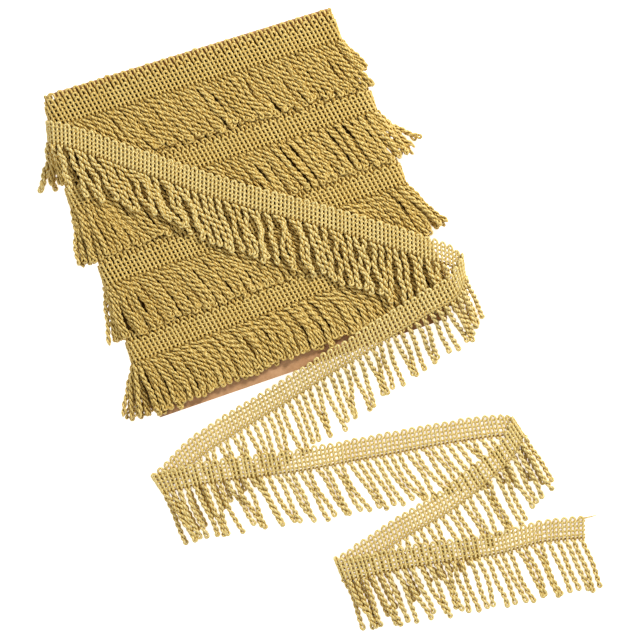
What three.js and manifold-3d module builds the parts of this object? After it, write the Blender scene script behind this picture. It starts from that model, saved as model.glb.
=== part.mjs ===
// Bullion fringe trim wound in four rows round a kraft card, with its loose end laid to and fro.
// Millimetres, +Z up, the surface that it all rests on at z = 0.
// The origin is on that surface, under the middle of the whole object.

import * as THREE from "three";
import { mergeVertices } from "three/addons/utils/BufferGeometryUtils.js";
import Module from "manifold-3d";

const wasm = await Module();
wasm.setup();

// Driving sizes of the trim
const HEADING_WIDTH = 15; // rib length, from the loops down to the strands
const PITCH = 5.8; // one loop of the heading, with one strand under it
const HEADING_THICK = 2.0;
const RIB_RISE = 0.15; // how far a rib stands out of each face
const SCALLOP = 1.1; // how far a loop stands past the mean edge
const STRAND_LENGTH = 39;
const STRAND_WIDE = 3.0;
const STRAND_THICK = 2.6;
const BOBBLE_WIDE = 3.8; // the small loop at a strand's tip
const STRIP_WIDE = 2.2; // the stitched strip that the strands hang from
const STRIP_THICK = 2.5;
const GAP = 0.3; // between neighbouring pieces

// Middle of the whole object in the frame that the tables below are in
const MIDDLE = { x: 1.4, y: 0.28 };

// Card, hand cut and a little wider at its foot; u runs along its rows and v up it
const CARD_CENTRE = { x: -53.2, y: 74.5 };
const CARD_TURN = THREE.MathUtils.degToRad(17.7);
const CARD_THICK = 2.8;
const CARD_UNDER = 6.6; // height of its underside
const CARD_TOP = CARD_UNDER + CARD_THICK;
const CARD_CORNERS = {
  topLeft: { u: -100.6, v: 119.9 },
  topRight: { u: 98.6, v: 118 },
  footRight: { u: 113, v: -113 },
  footLeft: { u: -98.6, v: -118 },
};

// Windings: heights of the outer faces, front and back. A row's reaches are how far it stands past
// the card's edges, and its side locks are places past the left edge, as shares of that reach.
const FRONT_STRANDS = 13.1; // top of the turns that lie under the outer strands
const FRONT_HEADING = 14.1;
const FRONT_TIER = 11.2; // loops of the turns below, which show above each heading
const BACK_STRANDS = 0;
const BACK_HEADING = 1.5;
const BACK_TIER = 3.6;
const ROW_PITCH = 56.5;
const ROWS = [
  { name: "row_1", top: 111, tilt: 0, lean: 26, reachLeft: 10.2, reachRight: 3.6, sideLocks: [] },
  { name: "row_2", top: 54, tilt: 0.004, lean: 29, reachLeft: 12.0, reachRight: 7.6, sideLocks: [0.45, 0.95] },
  { name: "row_3", top: -2.4, tilt: 0.022, lean: 31, reachLeft: 10.0, reachRight: 8.0, sideLocks: [0.45, 0.95] },
  { name: "row_4", top: -58.8, tilt: 0.025, lean: 33, reachLeft: 8.8, reachRight: 8.4, sideLocks: [0.45, 0.95] },
];
const FRONT_LOOPS = 35;
const BACK_COLUMNS = 10;
const SIDE_COLUMNS = 4;
const LOCKS_PER_ROW = 22;

// A row's cross-section from its loops down: w is the distance below them
const ROW_PROFILE = [
  { w: -5.0, front: FRONT_TIER, back: BACK_TIER, loop: 0, rib: 0 },
  { w: -0.6, front: FRONT_TIER + 0.4, back: BACK_TIER - 0.4, loop: 1, rib: 0 },
  { w: 0.0, front: FRONT_HEADING, back: BACK_HEADING, loop: 1, rib: 1 },
  { w: 14.6, front: FRONT_HEADING + 0.2, back: BACK_HEADING, loop: 0, rib: 1 },
  { w: 15.2, front: FRONT_STRANDS, back: BACK_STRANDS, loop: 0, rib: 0 },
  { w: 49.5, front: FRONT_STRANDS, back: BACK_STRANDS, loop: 0, rib: 0 },
];
const ROW_RIB_RISE = 0.4;

// Loose end, run by run, each laid on the one before.
// x and y place the loops' edge; rib and strand are leans to the right of straight down, in degrees;
// loops and hem are the heights of the heading's middle at its two edges.
// The last station of a run is the outermost line of its fold, which the next run starts from.
const FLAT = HEADING_THICK / 2 + RIB_RISE; // middle of a heading that lies on the surface
const OVER_PACK = 17.6;
const OVER_STRANDS = 4.4;
const RUNS = [
  {
    name: "run_1",
    stations: [
      { x: -189.4, y: 139.9, rib: 6, strand: -6, loops: 3.0, hem: 3.0 },
      { x: -192.9, y: 138.4, rib: 6, strand: -6, loops: 8.5, hem: 8.5 },
      { x: -188.4, y: 137.6, rib: 5, strand: 4, loops: 15.4, hem: 15.4 },
      { x: -177.0, y: 136.0, rib: 2, strand: 26, loops: OVER_PACK, hem: OVER_PACK },
      { x: -138.6, y: 122.8, rib: 0, strand: 30, loops: OVER_PACK, hem: OVER_PACK },
      { x: -63.0, y: 97.3, rib: -2, strand: 18, loops: OVER_PACK, hem: OVER_PACK },
      { x: 4.2, y: 79.1, rib: 0, strand: 11, loops: OVER_PACK, hem: OVER_PACK },
      { x: 74.0, y: 57.6, rib: 2, strand: 8, loops: OVER_PACK, hem: OVER_PACK },
      { x: 90.0, y: 51.9, rib: 5, strand: 12, loops: 16.8, hem: 16.0 },
      { x: 98.8, y: 45.4, rib: 9, strand: 22, loops: 18.6, hem: 17.4 },
    ],
  },
  {
    name: "run_2",
    stations: [
      { x: 98.8, y: 45.4, rib: 9, strand: 22, loops: 18.6, hem: 17.4 },
      { x: 88.5, y: 29.8, rib: 26, strand: 24, loops: 22.0, hem: 21.6 },
      { x: 67.6, y: 17.5, rib: 30, strand: 24, loops: 21.4, hem: 21.0 },
      { x: 39.2, y: 0.0, rib: 24, strand: 24, loops: 18.4, hem: 17.4 },
      { x: 21.0, y: -12.2, rib: 22, strand: 20, loops: 17.6, hem: 14.4 },
      { x: 4.9, y: -21.7, rib: 20, strand: 18, loops: 14.0, hem: 11.0 },
      { x: -28.3, y: -43.4, rib: 20, strand: 20, loops: 9.2, hem: 5.0 },
      { x: -64.4, y: -65.1, rib: 22, strand: 22, loops: 2.6, hem: FLAT },
      { x: -93.8, y: -85.0, rib: 28, strand: 23, loops: FLAT, hem: FLAT },
      { x: -111.3, y: -102.9, rib: 33, strand: 24, loops: FLAT, hem: FLAT },
      { x: -118.6, y: -108.6, rib: 34, strand: 25, loops: 2.8, hem: 2.8 },
    ],
  },
  {
    name: "run_3",
    stations: [
      { x: -118.6, y: -108.6, rib: 34, strand: 25, loops: 2.8, hem: 2.8 },
      { x: -108.0, y: -105.2, rib: 22, strand: 24, loops: OVER_STRANDS, hem: OVER_STRANDS },
      { x: -79.8, y: -99.0, rib: 14, strand: 24, loops: OVER_STRANDS, hem: OVER_STRANDS },
      { x: -18.2, y: -91.0, rib: 9, strand: 27, loops: OVER_STRANDS, hem: OVER_STRANDS },
      { x: 3.0, y: -87.2, rib: 9, strand: 30, loops: OVER_STRANDS, hem: 3.8 },
      { x: 19.0, y: -84.2, rib: 9, strand: 32, loops: 1.8, hem: FLAT },
      { x: 45.8, y: -79.3, rib: 8, strand: 35, loops: FLAT, hem: FLAT },
      { x: 91.0, y: -70.9, rib: 8, strand: 36, loops: FLAT, hem: FLAT },
      { x: 124.0, y: -66.6, rib: 16, strand: 34, loops: FLAT, hem: FLAT },
      { x: 134.6, y: -67.6, rib: 33, strand: 32, loops: 2.8, hem: 2.8 },
    ],
  },
  {
    name: "run_4",
    stations: [
      { x: 134.6, y: -67.6, rib: 33, strand: 32, loops: 2.8, hem: 2.8 },
      { x: 128.1, y: -81.2, rib: 33, strand: 30, loops: OVER_STRANDS, hem: OVER_STRANDS },
      { x: 110.6, y: -98.7, rib: 33, strand: 29, loops: OVER_STRANDS, hem: OVER_STRANDS },
      { x: 84.7, y: -119.4, rib: 27, strand: 28, loops: OVER_STRANDS, hem: OVER_STRANDS },
      { x: 67.0, y: -130.2, rib: 24, strand: 28, loops: 3.4, hem: 2.8 },
      { x: 52.3, y: -138.9, rib: 22, strand: 27, loops: FLAT, hem: FLAT },
      { x: 19.9, y: -161.0, rib: 22, strand: 25, loops: FLAT, hem: FLAT },
      { x: 10.2, y: -167.2, rib: 23, strand: 24, loops: 2.8, hem: 2.8 },
    ],
  },
  {
    name: "run_5",
    stations: [
      { x: 10.2, y: -167.2, rib: 23, strand: 24, loops: 2.8, hem: 2.8 },
      { x: 20.4, y: -166.0, rib: 18, strand: 24, loops: OVER_STRANDS, hem: OVER_STRANDS },
      { x: 58.8, y: -158.2, rib: 12, strand: 25, loops: OVER_STRANDS, hem: OVER_STRANDS },
      { x: 123.5, y: -148.4, rib: 9, strand: 24, loops: OVER_STRANDS, hem: 3.6 },
      { x: 138.0, y: -144.4, rib: 7, strand: 23, loops: OVER_STRANDS, hem: 3.6 },
      { x: 152.0, y: -141.0, rib: 5, strand: 22, loops: 1.8, hem: FLAT },
      { x: 162.0, y: -139.4, rib: 4, strand: 21, loops: FLAT, hem: FLAT },
      { x: 185.5, y: -137.5, rib: 1, strand: 18, loops: FLAT, hem: FLAT },
    ],
  },
];
const STEPS_PER_SPAN = 24; // fine steps of a run's curve between two stations

// Materials
const finish = (color, roughness) =>
  new THREE.MeshStandardMaterial({ color, roughness, metalness: 0 });
const GOLD_YARN = "#c9a14a";
const BRIGHT_YARN = "#d6b45c";
const KRAFT = "#b98a5e";

const group = new THREE.Group();

function addMesh(name, geometry, material) {
  const mesh = new THREE.Mesh(geometry, material);
  mesh.name = name;
  group.add(mesh);
}

// Solid geometry helpers

function geometryOf(points, faces) {
  const positions = new Float32Array(points.flatMap((p) => [p.x, p.y, p.z]));
  const geometry = new THREE.BufferGeometry();
  geometry.setAttribute("position", new THREE.BufferAttribute(positions, 3));
  geometry.setIndex(faces.flat());
  return geometry;
}

function solidOf(geometry) {
  const bare = geometry.clone();
  bare.deleteAttribute("normal");
  bare.deleteAttribute("uv");
  const merged = mergeVertices(bare, 1e-4);
  const vertProperties = merged.getAttribute("position").array;
  const triVerts = new Uint32Array(merged.getIndex().array);
  return new wasm.Manifold(new wasm.Mesh({ numProp: 3, vertProperties, triVerts }));
}

function geometryOfSolid(solid) {
  const mesh = solid.getMesh();
  const geometry = new THREE.BufferGeometry();
  geometry.setAttribute("position", new THREE.BufferAttribute(mesh.vertProperties, 3));
  geometry.setIndex(new THREE.BufferAttribute(mesh.triVerts, 1));
  return geometry;
}

function signedVolume(points, faces) {
  const corner = new THREE.Vector3();
  const sixfold = ([a, b, c]) => corner.crossVectors(points[b], points[c]).dot(points[a]);
  return faces.reduce((sum, face) => sum + sixfold(face), 0) / 6;
}

// A closed skin from rings of equal point counts, with its faces turned outwards.
function loft(rings) {
  const around = rings[0].length;
  const points = rings.flat();
  const faces = [];
  for (let i = 0; i + 1 < rings.length; i++) {
    for (let j = 0; j < around; j++) {
      const a = i * around + j;
      const b = i * around + ((j + 1) % around);
      faces.push([a, b, b + around], [a, b + around, a + around]);
    }
  }
  const last = (rings.length - 1) * around;
  for (let j = 1; j + 1 < around; j++) {
    faces.push([0, j + 1, j], [last, last + j, last + j + 1]);
  }
  if (signedVolume(points, faces) < 0) faces.forEach((face) => face.reverse());
  return geometryOf(points, faces);
}

// Card frame to the object's frame.
function onCard(u, v, z) {
  const c = Math.cos(CARD_TURN);
  const s = Math.sin(CARD_TURN);
  return new THREE.Vector3(
    CARD_CENTRE.x + c * u - s * v,
    CARD_CENTRE.y + s * u + c * v,
    z,
  );
}

function edgeAt(upper, lower, v) {
  const along = (upper.v - v) / (upper.v - lower.v);
  return THREE.MathUtils.lerp(upper.u, lower.u, along);
}
const leftEdge = (v) => edgeAt(CARD_CORNERS.topLeft, CARD_CORNERS.footLeft, v);
const rightEdge = (v) => edgeAt(CARD_CORNERS.topRight, CARD_CORNERS.footRight, v);

// A flat plate in the card's plane.
function plate(corners, under, thick) {
  const outline = new THREE.Shape(corners.map(({ u, v }) => new THREE.Vector2(u, v)));
  const geometry = new THREE.ExtrudeGeometry(outline, { depth: thick, bevelEnabled: false });
  geometry.rotateZ(CARD_TURN);
  geometry.translate(CARD_CENTRE.x, CARD_CENTRE.y, under);
  return geometry;
}

// Heights of what has been laid down so far, on a square grid

const CELL = 1.5;
const HALF_FIELD = 240;
const ACROSS = Math.ceil((2 * HALF_FIELD) / CELL);
const laid = new Float32Array(ACROSS * ACROSS);

function cellOf(x, y) {
  const column = Math.floor((x + HALF_FIELD) / CELL);
  const row = Math.floor((y + HALF_FIELD) / CELL);
  return row * ACROSS + column;
}

function forDisc(x, y, radius, visit) {
  for (let dx = -radius; dx <= radius; dx += CELL / 2) {
    for (let dy = -radius; dy <= radius; dy += CELL / 2) {
      if (dx * dx + dy * dy <= radius * radius) visit(cellOf(x + dx, y + dy));
    }
  }
}

function layDown(x, y, radius, top) {
  forDisc(x, y, radius, (cell) => {
    laid[cell] = Math.max(laid[cell], top);
  });
}

function heightUnder(x, y, radius) {
  let highest = 0;
  forDisc(x, y, radius, (cell) => {
    highest = Math.max(highest, laid[cell]);
  });
  return highest;
}

// Card

addMesh(
  "card",
  plate(Object.values(CARD_CORNERS), CARD_UNDER, CARD_THICK),
  finish(KRAFT, 0.9),
);

// Windings: one ring-shaped solid round the card, its outside worked out row by row

function windingRing(row, station) {
  const rowV = (u) => row.top + row.tilt * u - station.w;
  const vMiddle = rowV(0);
  const left = leftEdge(vMiddle);
  const right = rightEdge(vMiddle);
  const middle = (station.front + station.back) / 2;
  const half = (station.front - station.back) / 2;
  const ring = [];
  const columns = 2 * FRONT_LOOPS;
  for (let i = 0; i <= columns; i++) {
    const u = THREE.MathUtils.lerp(left, right, i / columns);
    const crest = i % 2 === 1 ? 1 : -1;
    const inner = i > 0 && i < columns;
    const rise = inner ? station.rib * ROW_RIB_RISE * crest * 0.5 : 0;
    const outward = inner ? station.loop * SCALLOP * crest : 0;
    ring.push(onCard(u, rowV(u) + outward, station.front + rise));
  }
  const side = (centre, reach, from) => {
    for (let i = 1; i <= SIDE_COLUMNS; i++) {
      const angle = from - (Math.PI * i) / (SIDE_COLUMNS + 1);
      const u = centre + reach * Math.cos(angle);
      ring.push(onCard(u, rowV(u), middle + half * Math.sin(angle)));
    }
  };
  side(right, row.reachRight, Math.PI / 2);
  for (let i = 0; i <= BACK_COLUMNS; i++) {
    const u = THREE.MathUtils.lerp(right, left, i / BACK_COLUMNS);
    ring.push(onCard(u, rowV(u), station.back));
  }
  side(left, row.reachLeft, -Math.PI / 2);
  return ring;
}

function windings() {
  const rings = ROWS.flatMap((row) => ROW_PROFILE.map((station) => windingRing(row, station)));
  const slot = [
    { u: leftEdge(140) - GAP, v: 140 },
    { u: rightEdge(140) + GAP, v: 140 },
    { u: rightEdge(-140) + GAP, v: -140 },
    { u: leftEdge(-140) - GAP, v: -140 },
  ];
  const outside = solidOf(loft(rings));
  const inside = solidOf(plate(slot, CARD_UNDER - GAP, CARD_THICK + 2 * GAP));
  return geometryOfSolid(outside.subtract(inside));
}

addMesh("wound_rows", windings(), finish(GOLD_YARN, 0.8));

// A strand: a three-sided bar with a level underside, slim where it is sewn and wide at its tip

const STRAND_SHAPE = [
  { wide: 2.2, thick: 1.9 },
  { wide: STRAND_WIDE, thick: STRAND_THICK },
  { wide: BOBBLE_WIDE, thick: STRAND_THICK },
];

function strandSolid(path) {
  const rings = path.map((p, i) => {
    const from = path[Math.max(i - 1, 0)];
    const to = path[Math.min(i + 1, path.length - 1)];
    const along = new THREE.Vector3(to.x - from.x, to.y - from.y, 0).normalize();
    const { wide, thick } = STRAND_SHAPE[i];
    const side = new THREE.Vector3(-along.y, along.x, 0).multiplyScalar(wide / 2);
    const low = new THREE.Vector3(0, 0, -thick / 2);
    const high = new THREE.Vector3(0, 0, thick / 2);
    return [p.clone().add(side).add(low), p.clone().add(high), p.clone().sub(side).add(low)];
  });
  return solidOf(loft(rings));
}

function union(solids) {
  return wasm.Manifold.union(solids);
}

// Outer strands of the rows: locks that lie on the windings, fused into a strip under the heading

const LOCK_MIDDLE = FRONT_STRANDS + GAP + STRAND_THICK / 2;
const LOCK_REACH = [0, 0.5, 1]; // shares of the length where a lock has a section
const LOCK_START = 16.4; // below the loops, clear of the step under the heading
const LOCK_LENGTH = STRAND_LENGTH - 3;
const LEAN_REACH = 17; // beside the left edge, locks hang straighter
const SIDE_LEAN = 16; // degrees to the left, of the outermost lock
const SIDE_SAG = 6;
const STRIP_MARGIN = 1;

// A lock from its sewn end: lean in degrees, and how far its tip hangs below its sewn end.
function lockPath(row, u, lean, long, sag) {
  const rootV = row.top + row.tilt * u - LOCK_START;
  const swing = THREE.MathUtils.degToRad(lean);
  return LOCK_REACH.map((reach) => {
    const turned = swing * (0.8 + 0.2 * reach);
    const run = long * reach;
    return onCard(
      u + run * Math.sin(turned),
      rootV - run * Math.cos(turned),
      LOCK_MIDDLE - sag * reach,
    );
  });
}

function rowFringe(row) {
  const vRoot = row.top - LOCK_START;
  const left = leftEdge(vRoot);
  const right = rightEdge(vRoot);
  const solids = row.sideLocks.map((share) => {
    const u = left - share * row.reachLeft;
    return strandSolid(lockPath(row, u, -SIDE_LEAN * share, LOCK_LENGTH, SIDE_SAG * share ** 2));
  });
  for (let i = 0; i < LOCKS_PER_ROW; i++) {
    const share = (i + 0.5) / LOCKS_PER_ROW;
    const u = THREE.MathUtils.lerp(left - 1, right - 2, share);
    const nearEdge = Math.exp(-(((u - left) / LEAN_REACH) ** 2));
    const lean = row.lean * (1 - nearEdge) + 4 * Math.sin(2.3 * i);
    const long = LOCK_LENGTH + 1.5 * Math.sin(1.7 * i + row.top);
    solids.push(strandSolid(lockPath(row, u, lean, long, 0)));
  }
  const stripEnd = (u) => {
    const v = row.top + row.tilt * u - LOCK_START;
    const low = LOCK_MIDDLE - STRIP_THICK / 2;
    const high = LOCK_MIDDLE + STRIP_THICK / 2;
    return [
      onCard(u, v - STRIP_WIDE / 2, low),
      onCard(u, v - STRIP_WIDE / 2, high),
      onCard(u, v + STRIP_WIDE / 2, high),
      onCard(u, v + STRIP_WIDE / 2, low),
    ];
  };
  const outermost = Math.max(0, ...row.sideLocks) * row.reachLeft;
  const ends = [left - outermost - STRIP_MARGIN, right - 2 + STRIP_MARGIN];
  solids.push(solidOf(loft(ends.map(stripEnd))));
  return geometryOfSolid(union(solids));
}

for (const row of ROWS) {
  addMesh(row.name + "_fringe", rowFringe(row), finish(GOLD_YARN, 0.8));
}

// What the loose end is laid on: the outer strands of the rows, and the card's bare margins

function layPack() {
  const { topLeft, footLeft } = CARD_CORNERS;
  for (let v = footLeft.v; v < topLeft.v; v += CELL) {
    for (let u = leftEdge(v); u < rightEdge(v); u += CELL) {
      const p = onCard(u, v, 0);
      layDown(p.x, p.y, CELL, CARD_TOP);
    }
  }
  const packTop = LOCK_MIDDLE + STRAND_THICK / 2;
  for (const row of ROWS) {
    for (let w = -5; w < ROW_PITCH - 5; w += CELL) {
      const v = row.top - w;
      for (let u = leftEdge(v) - row.reachLeft; u < rightEdge(v) + row.reachRight; u += CELL) {
        const p = onCard(u, v + row.tilt * u, 0);
        layDown(p.x, p.y, CELL, packTop);
      }
    }
  }
}

layPack();

// Loose end: curves along its loops' edge and its hem, run by run

// How far the height has gone from one station to the next: evenly along a run,
// and late and steeply where the run turns up into the outermost line of a fold.
function climb(share, foldAhead, foldBehind) {
  const late = (t) => 1 - (1 - t ** 4) ** 0.25;
  if (foldAhead) return late(share);
  return foldBehind ? 1 - late(1 - share) : share;
}

function runCurve(run, index) {
  const stations = run.stations;
  const plan = stations.map((s) => new THREE.Vector3(s.x, s.y, 0));
  const curve = new THREE.CatmullRomCurve3(plan, false, "centripetal");
  const spans = stations.length - 1;
  const steps = spans * STEPS_PER_SPAN;
  const line = [];
  let length = 0;
  for (let i = 0; i <= steps; i++) {
    const span = Math.min(Math.floor(i / STEPS_PER_SPAN), spans - 1);
    const share = i / STEPS_PER_SPAN - span;
    const foldAhead = span === spans - 1 && index < RUNS.length - 1;
    const foldBehind = span === 0 && index > 0;
    const between = (key, by) => THREE.MathUtils.lerp(stations[span][key], stations[span + 1][key], by);
    const rise = climb(share, foldAhead, foldBehind);
    const loops = curve.getPoint(i / steps).setZ(between("loops", rise));
    const drop = loops.z - between("hem", rise);
    const rib = THREE.MathUtils.degToRad(between("rib", share));
    const reach = Math.sqrt(HEADING_WIDTH ** 2 - drop ** 2);
    const down = new THREE.Vector3(Math.sin(rib) * reach, -Math.cos(rib) * reach, -drop);
    const strand = THREE.MathUtils.degToRad(between("strand", share));
    const middle = loops.clone().addScaledVector(down, 0.5);
    length += i > 0 ? middle.distanceTo(line[i - 1].middle) : 0;
    line.push({ loops, down, strand, middle, at: length });
  }
  return { name: run.name, line, length };
}

// The section of a run at a distance along it.
function sectionAt(run, distance) {
  const line = run.line;
  let i = 1;
  while (i < line.length - 1 && line[i].at < distance) i++;
  const a = line[i - 1];
  const b = line[i];
  const share = THREE.MathUtils.clamp((distance - a.at) / (b.at - a.at), 0, 1);
  const loops = a.loops.clone().lerp(b.loops, share);
  const down = a.down.clone().lerp(b.down, share);
  const strand = THREE.MathUtils.lerp(a.strand, b.strand, share);
  return { loops, down, strand, hem: loops.clone().add(down) };
}

const runs = RUNS.map(runCurve);

// Heading of the loose end: one ribbed strip through all runs and folds

function headingStrip() {
  const sections = [];
  runs.forEach((run, index) => {
    const halves = 2 * Math.round(run.length / PITCH);
    for (let i = index === 0 ? 0 : 1; i <= halves; i++) {
      sections.push(sectionAt(run, (run.length * i) / halves));
    }
  });
  const middle = (s) => s.loops.clone().addScaledVector(s.down, 0.5);
  const rings = sections.map((s, i) => {
    const before = middle(sections[Math.max(i - 1, 0)]);
    const after = middle(sections[Math.min(i + 1, sections.length - 1)]);
    const along = after.sub(before).normalize();
    const across = s.down.clone().normalize();
    const out = new THREE.Vector3().crossVectors(across, along).normalize();
    const crest = i % 2 === 1 ? 1 : -1;
    const half = HEADING_THICK / 2 + crest * RIB_RISE;
    const edge = s.loops.clone().addScaledVector(across, -SCALLOP * crest);
    return [
      edge.clone().addScaledVector(out, half),
      edge.clone().addScaledVector(out, -half),
      s.hem.clone().addScaledVector(out, -half),
      s.hem.clone().addScaledVector(out, half),
    ];
  });
  return loft(rings);
}

function layHeading(run) {
  for (let at = 0; at <= run.length; at += CELL) {
    const s = sectionAt(run, at);
    for (let share = 0; share <= 1; share += 0.1) {
      const p = s.loops.clone().addScaledVector(s.down, share);
      layDown(p.x, p.y, CELL, p.z + FLAT);
    }
  }
}

// Strands of the loose end

const FOLD_CLEAR = 5.6; // how far a run's strip stops short of each fold
const STRIP_STEP = PITCH;
const STRIP_GAP = 1.6 * GAP; // between the hem and the strip
const ROOT_DEPTH = STRIP_GAP + STRIP_WIDE / 2; // from the hem to the strip's middle

function stripOf(run, from, to) {
  const count = Math.round((to - from) / STRIP_STEP);
  const rings = [];
  for (let i = 0; i <= count; i++) {
    const section = sectionAt(run, THREE.MathUtils.lerp(from, to, i / count));
    const across = section.down.clone().setZ(0).normalize();
    const near = section.hem.clone().addScaledVector(across, STRIP_GAP);
    near.z = Math.max(near.z, STRIP_THICK / 2);
    const far = near.clone().addScaledVector(across, STRIP_WIDE);
    const low = new THREE.Vector3(0, 0, -STRIP_THICK / 2);
    const high = new THREE.Vector3(0, 0, STRIP_THICK / 2);
    rings.push([
      near.clone().add(low),
      near.clone().add(high),
      far.clone().add(high),
      far.clone().add(low),
    ]);
  }
  return rings;
}

function strandPath(section, long) {
  const across = section.down.clone().setZ(0).normalize();
  const root = section.hem.clone().addScaledVector(across, ROOT_DEPTH);
  root.z = Math.max(root.z, STRAND_THICK / 2);
  const way = new THREE.Vector3(Math.sin(section.strand), -Math.cos(section.strand), 0);
  const samples = 16;
  const reach = 2.6;
  const needed = (share, plan) => {
    const x = root.x + way.x * plan * share;
    const y = root.y + way.y * plan * share;
    const under = heightUnder(x, y, reach);
    return under + (under > 0 ? GAP : 0) + STRAND_THICK / 2;
  };
  let plan = long;
  let mid = root.z;
  let tip = root.z;
  for (let round = 0; round < 2; round++) {
    tip = STRAND_THICK / 2;
    for (let i = Math.round(0.7 * samples); i <= samples; i++) {
      tip = Math.max(tip, needed(i / samples, plan));
    }
    mid = needed(0.5, plan);
    for (let i = 1; i < samples; i++) {
      const share = i / samples;
      const want = needed(share, plan);
      if (share <= 0.5) {
        if (share > 0.15) mid = Math.max(mid, root.z + (want - root.z) / (share / 0.5));
      } else {
        const toTip = (share - 0.5) / 0.5;
        mid = Math.max(mid, toTip < 0.95 ? tip + (want - tip) / (1 - toTip) : mid);
      }
    }
    const fall = Math.hypot(root.z - mid, mid - tip);
    plan = Math.sqrt(long ** 2 - Math.min(fall, long / 2) ** 2);
  }
  const at = (share, z) =>
    new THREE.Vector3(
      root.x + way.x * plan * share,
      root.y + way.y * plan * share,
      z,
    );
  return [at(0, root.z), at(0.5, mid), at(1, tip)];
}

function layStrand(path) {
  for (let i = 0; i + 1 < path.length; i++) {
    for (let share = 0; share <= 1; share += 0.1) {
      const p = path[i].clone().lerp(path[i + 1], share);
      layDown(p.x, p.y, STRAND_WIDE / 2, p.z + STRAND_THICK / 2);
    }
  }
}

function runFringe(run, index) {
  const start = index === 0 ? 12 : FOLD_CLEAR;
  const end = run.length - (index === runs.length - 1 ? 1.5 : FOLD_CLEAR);
  const count = Math.round((end - start) / PITCH);
  const solids = [solidOf(loft(stripOf(run, start, end)))];
  const paths = [];
  for (let i = 0; i < count; i++) {
    const s = sectionAt(run, THREE.MathUtils.lerp(start + 1.6, end - 1.6, i / (count - 1)));
    const long = STRAND_LENGTH - ROOT_DEPTH + 1.4 * Math.sin(2.1 * i + index);
    paths.push(strandPath(s, long));
  }
  paths.forEach((path) => solids.push(strandSolid(path)));
  layHeading(run);
  paths.forEach(layStrand);
  return { geometry: geometryOfSolid(union(solids)), strands: count };
}

addMesh("loose_heading", headingStrip(), finish(BRIGHT_YARN, 0.8));
runs.forEach((run, index) => {
  const fringe = runFringe(run, index);
  addMesh(run.name + "_fringe", fringe.geometry, finish(BRIGHT_YARN, 0.8));
});

group.position.set(-MIDDLE.x, -MIDDLE.y, 0);

export default group;
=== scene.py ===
"""Bullion fringe trim wound in four rows round a kraft card, its loose end laid to and fro.

Everything is yarn: a heading is hairpins of one yarn bound by warps, and a strand is one yarn that
goes down and back up, twisted round itself. Each yarn is a tube along a line that is worked out on
a strip of heading: a Track is one turn round the card, and LooseEnd is the loose end with its
folds. A place on a strip is s along it and w below its loops. Tables are in millimetres and
degrees, and meshes in metres.
"""

import logging
from dataclasses import dataclass, field, replace
from enum import Enum
from typing import Protocol

import bpy
import numpy as np
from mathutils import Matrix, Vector
from numpy.typing import NDArray


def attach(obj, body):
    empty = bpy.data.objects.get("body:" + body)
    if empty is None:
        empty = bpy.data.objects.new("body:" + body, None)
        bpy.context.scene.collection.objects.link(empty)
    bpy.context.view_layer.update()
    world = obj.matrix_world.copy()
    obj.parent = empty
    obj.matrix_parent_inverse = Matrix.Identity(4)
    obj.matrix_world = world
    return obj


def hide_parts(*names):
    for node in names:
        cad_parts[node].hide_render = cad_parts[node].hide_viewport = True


Floats = NDArray[np.float64]
MM = 0.001
LOG = logging.getLogger("fringe_trim")
SEED = 20
UP = np.array([0.0, 0.0, 1.0])
MIDDLE_MM = np.array([1.4, 0.28, 0.0])  # middle of the whole object in the frame of the tables below


class Face(Enum):
    """Which way a layer of the windings is finished."""

    FULL = "full"  # seen in the photo's view
    PLAIN = "plain"  # under another layer or on the back, so built with fewer faces


@dataclass(frozen=True)
class Trim:
    """Sizes of the trim itself, in millimetres."""

    heading: float = 15.0  # from the loops down to the strands
    pitch: float = 5.8  # one loop, with one strand under it
    strand: float = 38.5
    strand_spread: float = 1.3  # how much strands differ in length
    rib_slant: float = np.tan(np.radians(12))  # of the ribs on the card, to the right going down
    rib_radius: float = 0.93  # of the yarn in the headings on the card
    rib_half: float = 1.42  # half the distance between the two ribs of one loop
    arch: float = 1.6  # the same where the loop turns over
    eye: float = 1.12  # half the width of the small loop at a strand's tip
    eye_long: float = 2.6
    warp_radius: float = 0.72
    loose_swell: float = 1.08  # yarn of the loose heading is less pressed, so thicker
    border_radius: float = 0.4
    warps: tuple[float, ...] = (3.1, 6.2, 9.3, 12.4)  # distance of each warp below the loops
    border: float = 14.5
    rib_weave: float = 0.16  # how far ribs pass over and under the warps
    rib_uneven: float = 0.12
    loop_uneven: float = 0.22
    warp_weave: float = 0.12
    warp_wave: float = 0.25  # how far warps swing up and down the heading
    border_weave: float = 0.3
    border_wave: float = 0.4
    border_sink: float = 0.7  # how deep the border lies under the ribs


TRIM = Trim()


@dataclass(frozen=True)
class Twist:
    """How a strand's two plies lie round each other, in millimetres."""

    ply: float  # radius of one ply
    helix: float  # from the strand's axis to a ply's middle
    turn: float  # one full turn
    closing: float = 1.3  # how soon the plies close on each other under the heading


TIGHT = Twist(0.92, 1.0, 10.2)  # on the card, where strands press on each other
LOOSE = Twist(1.06, 1.06, 10.0)


def linear(hex_colour: str) -> tuple[float, float, float, float]:
    """Turn an sRGB hex colour into linear light.

    Args:
        hex_colour: A colour such as "#c9a14a".

    Returns:
        Red, green, blue and alpha in linear light.
    """
    values = [int(hex_colour[i : i + 2], 16) / 255 for i in (1, 3, 5)]
    light = [v / 12.92 if v <= 0.04045 else ((v + 0.055) / 1.055) ** 2.4 for v in values]
    return (light[0], light[1], light[2], 1.0)


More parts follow.
